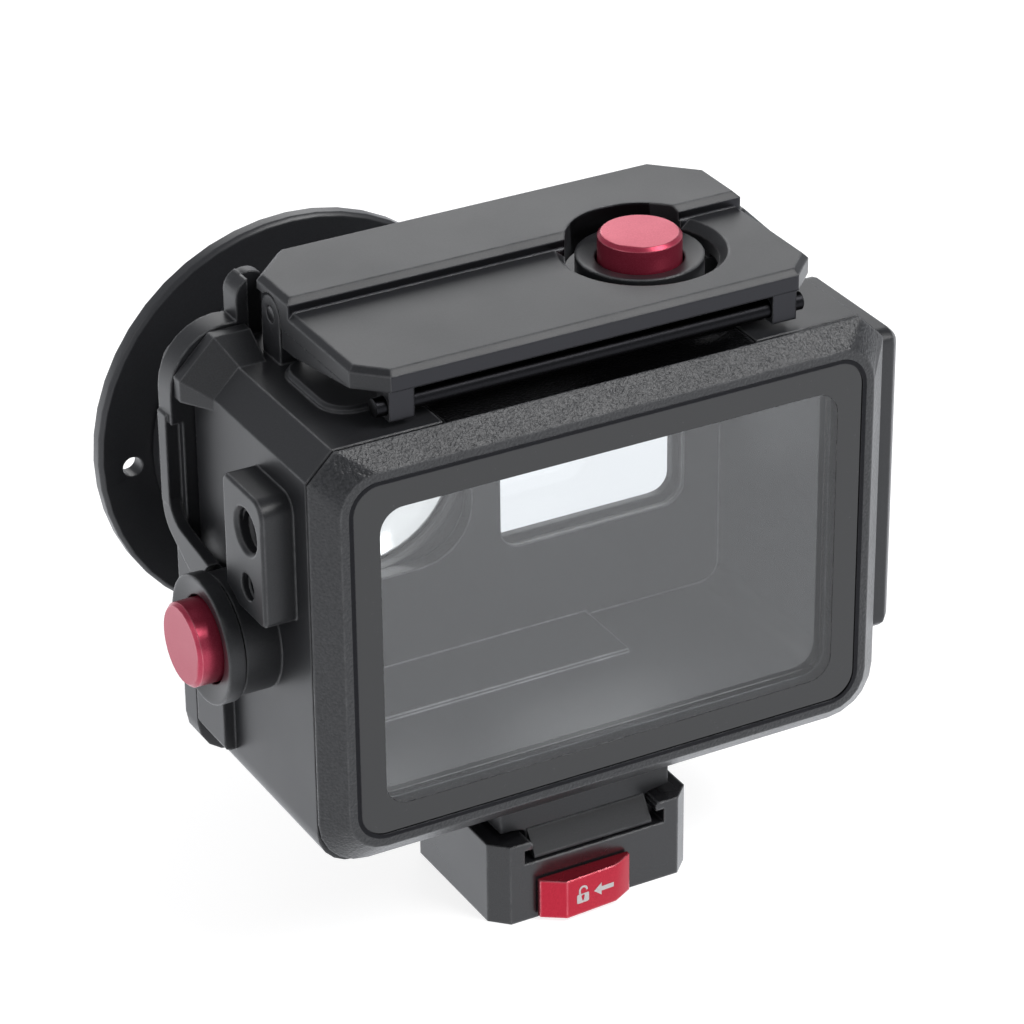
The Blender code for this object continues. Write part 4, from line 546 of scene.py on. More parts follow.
    def _smooth_room_with_painted_highlights(self, graph: Graph, shader: bpy.types.Node, bump: bpy.types.Node,
                     edges: Socket, place: Socket) -> None:
        """Smoother walls inside the camera's room, with a painted highlight on their edges.

        Args:
            graph: The material's graph.
            shader: Its main shader.
            bump: Its bump node.
            edges: The mask of the edges.
            place: The place on the object.
        """
        low, high = self.room
        middle = tuple((a + b) / 2 * MM for a, b in zip(low, high))
        apart = graph.vectors("ABSOLUTE", graph.vectors("SUBTRACT", place, middle))
        along = graph.add("SeparateXYZ", {"Vector": apart}).outputs
        within = [graph.work_out("LESS_THAN", along[i], (high[i] - low[i]) / 2 * MM)
                  for i in range(3)]
        inside = graph.work_out("MULTIPLY", graph.work_out("MULTIPLY", *within[:2]), within[2])
        # Painted highlight on the room's edges.
        self._recolour(graph, shader, graph.work_out("MULTIPLY", inside, edges), PAINTED_EDGE_HIGHLIGHT)
        graph.feed(bump.inputs["Strength"], graph.slide(inside, self.bump, 0.0))

    def _brighten_bore(self, graph: Graph, shader: bpy.types.Node, place: Socket) -> None:
        """Bare machined metal on the faces that look towards the turning axis.

        Args:
            graph: The material's graph.
            shader: Its main shader.
            place: The place on the object.
        """
        facing = graph.vectors("DOT_PRODUCT", self.lathe.away(graph, place),
                               graph.add("NewGeometry").outputs["Normal"])
        inside = graph.work_out("LESS_THAN", facing, 0.0)
        self._recolour(graph, shader, inside, BARE_BORE)
        before = shader.inputs["Roughness"].links[0].from_socket
        share = graph.slide(inside, 1.0, self.bore_roughness)
        graph.feed(shader.inputs["Roughness"], graph.work_out("MULTIPLY", before, share))
        graph.feed(shader.inputs["Metallic"], inside)


@dataclass(frozen=True)
class MottledFinish:
    """Rubber or ink, mottled by one of the effects.

    Attributes:
        finish: Which finish it is.
        effect: The effect.
        scales: The effect's own inputs by name.
        colours: Its two colours.
        coloured_by: The effect's output that mixes them.
        roughness: Its lowest and its highest roughness.
        roughened_by: The effect's output that goes from one to the other.
        relief: Strength of its relief, which follows the effect's Height.
        relief_depth: Depth of that relief.
        variant: What sets this version apart.
    """

    finish: Finish
    effect: Effect
    scales: dict[str, float]
    colours: tuple[Colour, Colour]
    coloured_by: str
    roughness: Point
    roughened_by: str
    relief: float = 0.0
    relief_depth: float = 0.02
    variant: Variant = Variant.PLAIN

    def build(self, effects: Effects) -> bpy.types.Material:
        """Make the material.

        Args:
            effects: The shared node groups.

        Returns:
            The finished material.
        """
        made, graph, shader, place = start_material(self.finish.value + self.variant.value)
        mottle = effects.place(self.effect, graph, {"Vector": place, **self.scales})
        graph.feed(shader.inputs["Base Color"],
                   graph.blend(mottle[self.coloured_by], *self.colours))
        graph.feed(shader.inputs["Roughness"],
                   graph.slide(mottle[self.roughened_by], *self.roughness))
        if self.relief > 0:
            bump = graph.add("Bump", {"Height": mottle["Height"], "Strength": self.relief,
                                      "Distance": self.relief_depth * MM})
            graph.feed(shader.inputs["Normal"], bump.outputs["Normal"])
        return made


@dataclass(frozen=True)
class GlassFinish:
    """Clear pane with a faint film, which lets the lamps through.

    Attributes:
        scales: The handling marks' own inputs by name.
        tint: The pane's colour.
        shade: The colour of light that passes to a lit or shaded face behind it.
        bending: Its index of refraction.
        film: Its roughness where it is clean and where the film is thick.
        finish: Which finish it is.
        variant: What sets this version apart.
    """

    scales: dict[str, float]
    tint: Colour = (0.94, 0.955, 0.96, 1)
    shade: Colour = (0.93, 0.945, 0.95, 1)
    bending: float = 1.5
    film: Point = (0.0, 0.035)
    finish: Finish = Finish.GLASS
    variant: Variant = Variant.PLAIN

    def build(self, effects: Effects) -> bpy.types.Material:
        """Make the material.

        Args:
            effects: The shared node groups.

        Returns:
            The finished material.
        """
        made, graph, shader, place = start_material(self.finish.value + self.variant.value)
        shader.inputs["Base Color"].default_value = self.tint
        shader.inputs["Transmission Weight"].default_value = 1.0
        shader.inputs["IOR"].default_value = self.bending
        marks = effects.place(Effect.MARKS, graph, {"Vector": place, **self.scales})
        graph.feed(shader.inputs["Roughness"], graph.slide(marks["Film"], *self.film))
        path = graph.add("LightPath").outputs
        lets_through = graph.work_out("MAXIMUM", path["Is Shadow Ray"], path["Is Diffuse Ray"])
        clear = graph.add("BsdfTransparent", {"Color": self.shade})
        both = graph.add("MixShader", {0: lets_through, 1: shader.outputs["BSDF"],
                                       2: clear.outputs["BSDF"]})
        graph.feed(made.node_tree.nodes["Material Output"].inputs["Surface"],
                   both.outputs["Shader"])
        return made


ANODISED = MetalFinish(
    Finish.ANODISED, (0.014, 0.0145, 0.016), (0.022, 0.0225, 0.025), roughness=0.38, swing=0.02,
    grain=5200.0, bump=0.16, wear_width=0.45, specular=0.36)
BLASTED = MetalFinish(
    Finish.BLASTED, (0.011, 0.0115, 0.013), (0.034, 0.035, 0.038), roughness=0.325, swing=0.03,
    grain=2500.0, bump=1.0, wear_width=0.45, specular=0.40, bump_depth=0.10)
BASE = MetalFinish(
    Finish.BASE, (0.010, 0.010, 0.0115), (0.018, 0.018, 0.020), roughness=0.26, swing=0.05,
    grain=6000.0, bump=0.15, wear_width=0.50)
OXIDE = MetalFinish(
    Finish.OXIDE, (0.011, 0.011, 0.012), (0.016, 0.016, 0.018), roughness=0.34, swing=0.03,
    grain=6000.0, bump=0.15, wear_width=0.20, worn_and_highlit=(0.03, 0.03, 0.032), metallic=1.0)
TURNED = MetalFinish(
    Finish.TURNED, (0.021, 0.0215, 0.024), (0.028, 0.029, 0.032), roughness=0.34, swing=0.03,
    grain=6000.0, bump=0.25, wear_width=0.30, specular=0.42, lathe=LENS_LATHE)
RED_SLIDER = MetalFinish(
    Finish.RED, (0.34, 0.010, 0.026), (0.44, 0.019, 0.040), roughness=0.28, swing=0.04,
    grain=6500.0, bump=0.22, wear_width=0.40, worn_and_highlit=(0.85, 0.26, 0.30), metallic=0.80)
RED_BUTTON = MetalFinish(
    Finish.RED, (0.34, 0.026, 0.056), (0.43, 0.048, 0.088), roughness=0.31, swing=0.04,
    grain=6500.0, bump=0.30, wear_width=0.20, worn_and_highlit=(0.85, 0.36, 0.40), metallic=0.62)
STEEL = MetalFinish(
    Finish.STEEL, (0.36, 0.36, 0.37), (0.50, 0.50, 0.51), roughness=0.28, swing=0.05,
    grain=4000.0, bump=0.2, wear_width=0.15, worn_and_highlit=(0.7, 0.7, 0.7), metallic=1.0)

PANE_MARKS = {"Film": 55.0, "Speck": 700.0}
RUBBER = MottledFinish(
    Finish.RUBBER, Effect.GRAIN, {"Grain": 3000.0, "Patch": 120.0},
    ((0.010, 0.010, 0.010, 1), (0.020, 0.020, 0.021, 1)), coloured_by="Shade",
    roughness=(0.62, 0.78), roughened_by="Speckle", relief=0.3)
PRINT = MottledFinish(
    Finish.PRINT, Effect.MARKS, PANE_MARKS,
    ((0.006, 0.006, 0.0065, 1), (0.030, 0.030, 0.031, 1)), coloured_by="Specks",
    roughness=(0.04, 0.10), roughened_by="Film")
SIGN = MottledFinish(
    Finish.SIGN, Effect.GRAIN, {"Grain": 9000.0, "Patch": 900.0},
    ((0.66, 0.62, 0.62, 1), (0.82, 0.80, 0.80, 1)), coloured_by="Speckle",
    roughness=(0.38, 0.5), roughened_by="Shade")

EVERY_FINISH = (
    ANODISED,
    # The body's camera room with a painted highlight on its edges.
    replace(ANODISED, variant=Variant.WITH_ROOM_HIGHLIGHTS, room=CAMERA_ROOM),
    # Painted shade on the lever's rear faces and on the door's top.
    replace(ANODISED, variant=Variant.PAINTED_SHADE_REAR, painted_shade_towards=REARWARDS),
    replace(BLASTED, variant=Variant.PAINTED_SHADE_TOP, painted_shade_towards=UPWARDS),
    BASE,
    OXIDE,
    TURNED,
    replace(TURNED, variant=Variant.BRIGHT_BORE, bright_bore=True),
    RED_SLIDER,
    replace(RED_BUTTON, variant=Variant.TOP_BUTTON, lathe=SHUTTER_LATHE),
    replace(RED_BUTTON, variant=Variant.SIDE_BUTTON, lathe=SIDE_LATHE),
    STEEL,
    RUBBER,
    GlassFinish(PANE_MARKS),
    PRINT,
    SIGN,
)


class Finishes:
    """All materials of the object."""

    def __init__(self) -> None:
        """Build each finish once."""
        effects = Effects()
        self.made = {(each.finish, each.variant): each.build(effects) for each in EVERY_FINISH}

    def get(self, finish: Finish, variant: Variant = Variant.PLAIN) -> bpy.types.Material:
        """The material of a finish."""
        return self.made[finish, variant]


# Mesh helpers


SMOOTH_BELOW = math.radians(35)


def at(axis: Axis, u: float, v: float, level: float) -> Vector:
    """Point of an outline at a level along an axis.

    Args:
        axis: The axis.
        u: The first of the other two coordinates, in millimetres.
        v: The second of them.
        level: The coordinate along the axis.

    Returns:
        The point in metres.
    """
    place = [u, v]
    place.insert(axis.value, level)
    return Vector(place) * MM


def arc(centre: Point, radius: float, start: float, end: float, steps: int) -> Outline:
    """Points of an arc in degrees, both ends included."""
    angles = [math.radians(start + (end - start) * i / steps) for i in range(steps + 1)]
    return [(centre[0] + radius * math.cos(a), centre[1] + radius * math.sin(a)) for a in angles]


def rounded(width: float, height: float, radius: float, centre: Point, steps: int = 10) -> Outline:
    """Outline of a rounded rectangle, counter-clockwise from its bottom left corner.

    Args:
        width: Its width.
        height: Its height.
        radius: Its corners' radius.
        centre: Its middle.
        steps: Steps in each corner.

    Returns:
        The outline.
    """
    points: Outline = []
    for i, (side_u, side_v) in enumerate(((-1, -1), (1, -1), (1, 1), (-1, 1))):
        corner = (centre[0] + side_u * (width / 2 - radius),
                  centre[1] + side_v * (height / 2 - radius))
        points += arc(corner, radius, 180 + 90 * i, 270 + 90 * i, steps)
    return points


def finish_mesh(name: str, data: bmesh.types.BMesh,
                finish: bpy.types.Material) -> bpy.types.Object:
    """Turn a bmesh into a named object with its finish.

    Args:
        name: The piece's name.
        data: The mesh, which is freed.
        finish: Its material.

    Returns:
        The new object.
    """
    bmesh.ops.recalc_face_normals(data, faces=data.faces)
    mesh = bpy.data.meshes.new(name)
    data.to_mesh(mesh)
    data.free()
    mesh.materials.append(finish)
    mesh.shade_smooth()
    mesh.set_sharp_from_angle(angle=SMOOTH_BELOW)
    made = bpy.data.objects.new(name, mesh)
    bpy.context.scene.collection.objects.link(made)
    return made


def skin(data: bmesh.types.BMesh, rings: list[list[bmesh.types.BMVert]], closed: bool) -> None:
    """Join rings of as many points each with faces.

    Args:
        data: The mesh.
        rings: The rings, in order.
        closed: Join the last ring to the first, or else cap both ends.
    """
    following = rings[1:] + rings[:1] if closed else rings[1:]
    for low, high in zip(rings, following):
        for i in range(len(low)):
            j = (i + 1) % len(low)
            data.faces.new((low[i], low[j], high[j], high[i]))
    if not closed:
        data.faces.new(rings[0])
        data.faces.new(rings[-1])


def layered(name: str, axis: Axis, layers: list[tuple[Outline, float]], closed: bool,
            finish: bpy.types.Material) -> bpy.types.Object:
    """Solid skinned over outlines of as many points, each at its level.

    Args:
        name: The piece's name.
        axis: The axis of the levels.
        layers: The outlines and their levels, in order.
        closed: Join the last outline to the first, or else cap both ends.
        finish: Its material.

    Returns:
        The new object.
    """
    data = bmesh.new()
    rings = [[data.verts.new(at(axis, u, v, level)) for u, v in outline]
             for outline, level in layers]
    skin(data, rings, closed)
    return finish_mesh(name, data, finish)


def hollow_plate(name: str, axis: Axis, outer: Outline, inner: Outline, low: float, high: float,
                 finish: bpy.types.Material) -> bpy.types.Object:
    """Thin frame between two outlines of as many points."""
    layers = [(outer, low), (outer, high), (inner, high), (inner, low)]
    return layered(name, axis, layers, closed=True, finish=finish)


def prism(name: str, axis: Axis, outline: Outline, low: float, high: float,
          finish: bpy.types.Material) -> bpy.types.Object:
    """Solid with one outline all along an axis."""
    return layered(name, axis, [(outline, low), (outline, high)], closed=False, finish=finish)


@dataclass(frozen=True)
class ThreadForm:
    """Inside thread: one ridge that winds along a bore's wall and fades out at both ends.

    Attributes:
        pitch: Its rise in one turn.
        depth: The ridge's height.
        steps: Steps in one turn.
        foot: Half the ridge's width at the bore, as a share of the pitch.
        crest: Its width at the top, as a share of that at the bore.
        sunk: How deep the foot stands in the bore's wall.
        fade: The part of a turn in which it fades out.
    """

    pitch: float
    depth: float
    steps: int = 32
    foot: float = 0.42
    crest: float = 0.12
    sunk: float = 0.02
    fade: float = 0.25

    def build(self, name: str, axis: Axis, centre: Point, radius: float, span: Point,
              finish: bpy.types.Material) -> bpy.types.Object:
        """Make the thread in one bore.

        Args:
            name: The piece's name.
            axis: The bore's axis.
            centre: Where the axis is, across it.
            radius: The bore's radius.
            span: Where the thread starts and ends.
            finish: Its material.

        Returns:
            The new object.
        """
        data = bmesh.new()
        low, high = span
        count = int((high - low - self.pitch) / self.pitch * self.steps)
        fading = self.steps * self.fade
        rings = []
        for i in range(count + 1):
            angle = math.tau * i / self.steps
            middle = low + self.pitch / 2 + self.pitch * i / self.steps
            share = min(1.0, (i + 1) / fading, (count - i + 1) / fading)
            half = self.foot * self.pitch * share
            top = radius - self.depth * share
            section = ((radius + self.sunk, -half), (top, -self.crest * half),
                       (top, self.crest * half), (radius + self.sunk, half))
            rings.append([data.verts.new(at(axis, centre[0] + reach * math.cos(angle),
                                            centre[1] + reach * math.sin(angle), middle + along))
                          for reach, along in section])
        skin(data, rings, closed=False)
        return finish_mesh(name, data, finish)


TRIPOD_THREAD = ThreadForm(pitch=1.27, depth=0.42)
LOCATING_THREAD = ThreadForm(pitch=0.6, depth=0.22)
FILTER_THREAD = ThreadForm(pitch=0.5, depth=0.2, steps=96)


class EdgeSoftener:
    """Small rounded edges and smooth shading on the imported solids, by modifiers alone."""

    SHARP_ABOVE = math.radians(32)
    ROUNDED_ABOVE = math.radians(30)
    WELD_REACH = 0.001 * MM

    def __init__(self) -> None:
        """Build the shading group once."""
        self.shading = self._shading_group()

    def _shading_group(self) -> bpy.types.NodeTree:
        """Geometry group that shades smooth and keeps edges sharp above an angle.

        Returns:
            The node group.
        """
        tree = bpy.data.node_groups.new("smooth_up_to_an_angle", "GeometryNodeTree")
        for way in ("INPUT", "OUTPUT"):
            tree.interface.new_socket("Geometry", in_out=way, socket_type="NodeSocketGeometry")
        source, sink = tree.nodes.new("NodeGroupInput"), tree.nodes.new("NodeGroupOutput")
        faces = tree.nodes.new("GeometryNodeSetShadeSmooth")
        edges = tree.nodes.new("GeometryNodeSetShadeSmooth")
        edges.domain = "EDGE"
        angle = tree.nodes.new("GeometryNodeInputMeshEdgeAngle")
        compare = tree.nodes.new("FunctionNodeCompare")
        compare.data_type, compare.operation = "FLOAT", "GREATER_THAN"
        compare.inputs[1].default_value = self.SHARP_ABOVE
        edges.inputs["Shade Smooth"].default_value = False
        for output, socket in (
            (angle.outputs["Unsigned Angle"], compare.inputs[0]),
            (source.outputs["Geometry"], faces.inputs["Geometry"]),
            (faces.outputs["Geometry"], edges.inputs["Geometry"]),
            (compare.outputs["Result"], edges.inputs["Selection"]),
            (edges.outputs["Geometry"], sink.inputs["Geometry"]),
        ):
            tree.links.new(output, socket)
        return tree

    def soften(self, solid: bpy.types.Object, width: float, segments: int) -> None:
        """Round one solid's edges.

        Args:
            solid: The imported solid.
            width: Width of the rounding in millimetres; 0 leaves the edges as they are.
            segments: Facets of the rounding.
        """
        weld = solid.modifiers.new("join_facets", "WELD")
        weld.merge_threshold = self.WELD_REACH
        if width > 0:
            bevel = solid.modifiers.new("broken_edges", "BEVEL")
            bevel.width = width * MM
            bevel.segments = segments
            bevel.limit_method = "ANGLE"
            bevel.angle_limit = self.ROUNDED_ABOVE
            bevel.miter_outer = "MITER_ARC"
            bevel.use_clamp_overlap = True
        shading = solid.modifiers.new("shading", "NODES")
        shading.node_group = self.shading
        weighted = solid.modifiers.new("flat_faces", "WEIGHTED_NORMAL")
        weighted.keep_sharp = True


# Sub-assemblies


@dataclass(frozen=True)
class Dressing:
    """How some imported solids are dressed.

    Attributes:
        names: The solids.
        finish: Their finish.
        edge: Width of their broken edges; 0 leaves the edges as they are.
        variant: Which version of the finish.
        facets: Facets of the broken edges.
    """

    names: tuple[str, ...]
    finish: Finish
    edge: float = 0.0
    variant: Variant = Variant.PLAIN
    facets: int = 2


@dataclass
class SubAssembly:
    """What each sub-assembly has: the finishes, the edge softener and the solids by name."""

    finishes: Finishes
    softener: EdgeSoftener
    nodes: dict[str, bpy.types.Object]
    added: list[str] = field(default_factory=list)
    dressings: tuple[Dressing, ...] = ()

    def build(self) -> None:
        """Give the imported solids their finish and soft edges, and add the small forms."""
        for dressing in self.dressings:
            for name in dressing.names:
                solid = self.nodes[name]
                solid.data.materials.clear()
                solid.data.materials.append(self.finishes.get(dressing.finish, dressing.variant))
                self.softener.soften(solid, dressing.edge, dressing.facets)
                log.info("%s: %s", name, dressing.finish.value)
        self.add_forms()

    def add_forms(self) -> None:
        """Add the forms that the solids leave out, where there are any."""

    def add(self, piece: bpy.types.Object, body: str) -> None:
        """Let a new piece ride on a body.

        Args:
            piece: The new piece.
            body: The body's name.
        """
        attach(piece, body)
        self.added.append(piece.name)
        log.info("%s rides on %s", piece.name, body)


@dataclass
class Housing(SubAssembly):
    """Body, front plate, rails and the threads in them."""

    block_face: float = -47.5
    block_thread: Point = (-4.4, 67.5)
    block_mouth: float = 0.5
    block_thread_depth: float = 8.6
    tripod_radius: float = 3.0
    locating_spacing: float = 8.1
    locating_radius: float = 1.9
    locating_mouth: float = 0.3
    locating_depth: float = 4.2
    rail_centre: Point = (-0.4, 52.85)
    rail_span: Point = (43.2, 47.3)
    rail_thread_half_spacing: float = 7.0
    plate_face: float = 23.8
    plate_screws: tuple[Point, ...] = ((-38.6, 25.7), (38.6, 25.7), (-38.6, 74.5), (38.6, 74.5))
    rail_screws: tuple[Point, ...] = ((-0.4, 35.85), (-0.4, 69.85))
    rail_head: float = 47.0
    drive_radius: float = 1.0
    drive_depth: float = 0.75
    drive_fit: float = 0.01
    drive_sunk: float = 0.03
    hex_share: float = 0.93
    hex_steps: int = 4
    ramp_half_width: float = 9.2
    ramp: tuple[Point, ...] = ((-8.35, 13.0), (-10.7, 9.7), (-10.7, 9.35), (-8.35, 9.35))
    dressings: tuple[Dressing, ...] = (
        # The camera room inside the body gets a painted highlight on its edges.
        Dressing(("body_shell",), Finish.ANODISED, 0.22, Variant.WITH_ROOM_HIGHLIGHTS),
        Dressing(("front_plate",), Finish.ANODISED, 0.22),
        Dressing(("accessory_rail", "mount_foot", "screen_frame"), Finish.ANODISED, 0.25),
        Dressing(("plate_screw_1", "plate_screw_2", "plate_screw_3", "plate_screw_4",
                  "rail_screw_1", "rail_screw_2", "foot_screw_1", "foot_screw_2"),
                 Finish.STEEL, 0.15),
        Dressing(("screen_gasket",), Finish.RUBBER),
        Dressing(("screen_glass",), Finish.GLASS),
    )

    def add_forms(self) -> None:
        """Add the foot's ramp, the threads and the screws' sockets."""
        self.add(prism("mount_foot_ramp", Axis.X, list(self.ramp), -self.ramp_half_width,
                       self.ramp_half_width, self.finishes.get(Finish.ANODISED)), "housing")
        self._threads()
        for i, centre in enumerate(self.plate_screws):
            self._hex_socket(f"plate_screw_socket_{i + 1}", Axis.Y, centre, self.plate_face)
        for i, centre in enumerate(self.rail_screws):
            self._hex_socket(f"rail_screw_socket_{i + 1}", Axis.X, centre, self.rail_head)

    def _threads(self) -> None:
        """Threads of the block's two holes and of the rail's."""
        black = self.finishes.get(Finish.ANODISED)
        face = self.block_face
        self.add(TRIPOD_THREAD.build(
            "block_thread", Axis.X, self.block_thread, self.tripod_radius,
            (face + self.block_mouth, face + self.block_thread_depth), black), "housing")
        lower = (self.block_thread[0], self.block_thread[1] - self.locating_spacing)
        self.add(LOCATING_THREAD.build(
            "locating_thread", Axis.X, lower, self.locating_radius,
            (face + self.locating_mouth, face + self.locating_depth), black), "housing")
        for name, side in (("low", -1), ("high", 1)):
            centre = (self.rail_centre[0],
                      self.rail_centre[1] + side * self.rail_thread_half_spacing)
            self.add(TRIPOD_THREAD.build("rail_thread_" + name, Axis.X, centre,
                                         self.tripod_radius, self.rail_span, black), "housing")

    def _hex_socket(self, name: str, axis: Axis, centre: Point, face: float) -> None:
        """Fill a screw's round recess but for a six-sided socket.

        Args:
            name: The piece's name.
            axis: The screw's axis.
            centre: Where the axis is, across it.
            face: Level of the screw's head.
        """
        steps = self.hex_steps
        tips = arc(centre, self.hex_share * self.drive_radius, start=0, end=360, steps=6)
        hexagon: Outline = []
        for (u0, v0), (u1, v1) in zip(tips, tips[1:]):
            hexagon += [(u0 + (u1 - u0) * i / steps, v0 + (v1 - v0) * i / steps)
                        for i in range(steps)]
        circle = arc(centre, self.drive_radius + self.drive_fit, start=0, end=360,
                     steps=6 * steps)[:-1]
        self.add(hollow_plate(name, axis, circle, hexagon, face - self.drive_depth,
                              face - self.drive_sunk, self.finishes.get(Finish.STEEL)), "housing")


@dataclass
class LensPort(SubAssembly):
    """Port barrel, its glass and seals, and the filter ring with its thread."""

    lens: Point = LENS
    filter_radius: float = 23.65
    filter_span: Point = (41.7, 43.1)
    dressings: tuple[Dressing, ...] = (
        Dressing(("filter_ring",), Finish.TURNED, 0.18),
        Dressing(("port_barrel",), Finish.TURNED, 0.18, Variant.BRIGHT_BORE),
        Dressing(("spigot_seal", "port_seal"), Finish.RUBBER),
        Dressing(("port_glass",), Finish.GLASS),
    )

    def add_forms(self) -> None:
        """Add the filter thread."""
        self.add(FILTER_THREAD.build("filter_thread", Axis.Y, self.lens, self.filter_radius,
                                     self.filter_span, self.finishes.get(Finish.TURNED)),
                 "housing")


@dataclass
class Buttons(SubAssembly):
    """Shutter and side buttons with their dished bosses."""

    dressings: tuple[Dressing, ...] = (
        Dressing(("shutter_boss", "side_boss"), Finish.ANODISED, 0.15),
        Dressing(("shutter_button",), Finish.RED, 0.12, Variant.TOP_BUTTON),
        Dressing(("side_button",), Finish.RED, 0.12, Variant.SIDE_BUTTON),
        Dressing(("shutter_spring", "side_spring", "shutter_clip", "side_clip"), Finish.STEEL),
        Dressing(("shutter_stem_seal", "side_stem_seal"), Finish.RUBBER),
    )


@dataclass
class Door(SubAssembly):
    """Rear door, its glass, the black border printed on it and the joint line round it.

    The pane, its clear part and the joint each give a width, a height and a corner radius.
    """

    middle: Point = (0.0, 50.3)
    pane: Triple = (76.0, 51.7, 3.8)
    clear: Triple = (68.5, 44.0, 3.4)
    joint: Triple = (77.3, 53.0, 4.45)
    glass_face: float = -16.2
    door_face: float = -16.4
    ink: float = 0.02
    dressings: tuple[Dressing, ...] = (
        # The door's upward faces get painted shade for the lever's shadow.
        Dressing(("door_frame",), Finish.BLASTED, 0.22, Variant.PAINTED_SHADE_TOP),
        Dressing(("rear_glass",), Finish.GLASS),
        Dressing(("door_seal",), Finish.RUBBER),
        Dressing(("door_hinge_pin",), Finish.STEEL),
    )

    def add_forms(self) -> None:
        """Add the printed border and the joint line."""
        joint, pane, clear = (rounded(*size, self.middle)
                              for size in (self.joint, self.pane, self.clear))
        inner_face = self.glass_face - self.ink / 2
        self.add(hollow_plate("glass_border", Axis.Y, pane, clear, self.glass_face - 2 * self.ink,
                              inner_face, self.finishes.get(Finish.PRINT)), "door")
        self.add(hollow_plate("glass_joint", Axis.Y, joint, pane, self.door_face - self.ink,
                              inner_face, self.finishes.get(Finish.OXIDE)), "door")


@dataclass
class Latch(SubAssembly):
    """Latch lever with its pins, and the cheeks that deepen its sides towards the pins."""

    side: float = 34.05
    cheek_thickness: float = 1.4
    cheek: tuple[Point, ...] = ((-7.9, 86.6), (-7.9, 86.2), (8.0, 83.7), (11.0, 83.7),
                                (11.0, 86.6))
    dressings: tuple[Dressing, ...] = (
        # The lever's rearward faces get painted shade.
        Dressing(("latch_lever",), Finish.ANODISED, 0.35, Variant.PAINTED_SHADE_REAR, facets=3),
        Dressing(("latch_cross_pin",), Finish.OXIDE, 0.3),
        Dressing(("latch_pivot_pin_left", "latch_pivot_pin_right"), Finish.BASE, 0.3),
    )

    def add_forms(self) -> None:
        """Add the two cheeks."""
        inner = self.side - self.cheek_thickness
        for name, low, high in (("left", -self.side, -inner), ("right", inner, self.side)):
            self.add(prism("lever_cheek_" + name, Axis.X, list(self.cheek), low, high,
                           self.finishes.get(Finish.ANODISED)), "lever")


@dataclass(frozen=True)
class Padlock:
    """Open padlock sign, across and up on the slider's face."""

    left: float = -4.55
    right: float = -2.60
    low: float = 2.25
    high: float = 3.70
    corner: float = 0.18
    keyhole_height: float = 3.26
    keyhole_radius: float = 0.27
    slot_half: float = 0.13
    slot_low: float = 2.62
    shackle_shift: float = 0.05
    shackle_height: float = 4.25
    shackle_outer: float = 0.72
    shackle_inner: float = 0.42
    leg_span: Point = (3.66, 4.26)
    seam: float = 0.01
    tiny: float = 1e-6

    def outlines(self) -> list[Outline]:
        """The sign as simple outlines.

        Returns:
            The body's two halves, the shackle's arch and its leg.
        """
        centre = ((self.left + self.right) / 2 + self.shackle_shift, self.shackle_height)
        arch = (arc(centre, self.shackle_outer, start=180, end=-10, steps=12)
                + arc(centre, self.shackle_inner, start=-10, end=180, steps=12))
        far, near = centre[0] - self.shackle_outer, centre[0] - self.shackle_inner
        low, high = self.leg_span
        return [*self._body(), arch, [(far, low), (near, low), (near, high), (far, high)]]

    def _body(self) -> list[Outline]:
        """The body in two halves, which meet above and below the keyhole.

        Returns:
            The left half and the right half.
        """
        middle, level = (self.left + self.right) / 2, (self.low + self.high) / 2
        width, height = self.right - self.left, self.high - self.low
        outer = rounded(width, height, self.corner, (middle, level), steps=2)
        keyhole = arc((middle, self.keyhole_height), self.keyhole_radius, start=215, end=-35,
                      steps=10)
        keyhole += [(middle + self.slot_half, self.slot_low),
                    (middle - self.slot_half, self.slot_low)]
        heights = [z for _, z in keyhole]
        top, bottom = max(heights), min(heights)

        def turn(point: Point) -> float:
            """The angle of a point round the body's middle."""
            return math.atan2(point[1] - level, point[0] - middle)

        x = middle - self.seam
        left = [(x, self.high)]
        left += sorted((p for p in outer if p[0] < middle), key=lambda p: turn(p) % math.tau)
        left += [(x, self.low), (x, bottom)]
        left += sorted((p for p in keyhole if p[0] < middle - self.tiny), key=lambda p: p[1])
        left += [(x, top)]
        x = middle + self.seam
        right = [(x, self.low)]
        right += sorted((p for p in outer if p[0] >= middle), key=turn)
        right += [(x, self.high), (x, top)]
        right += sorted((p for p in keyhole if p[0] > middle + self.tiny), key=lambda p: -p[1])
        right += [(x, bottom)]
        return [left, right]


@dataclass(frozen=True)
class Arrow:
    """Sign of an arrow to the left, across and up on the slider's face."""

    tip: float = -1.75
    neck: float = -0.55
    end: float = 1.45
    height: float = 3.42
    head_half: float = 0.98
    tail_half: float = 0.35

    def outline(self) -> Outline:
        """The arrow, from its tip and along its lower side first.

        Returns:
            Its outline.
        """
        lower = [(self.neck, -self.head_half), (self.neck, -self.tail_half),
                 (self.end, -self.tail_half)]
        upper = [(x, -up) for x, up in reversed(lower)]
        return [(x, self.height + up) for x, up in [(self.tip, 0.0), *lower, *upper]]


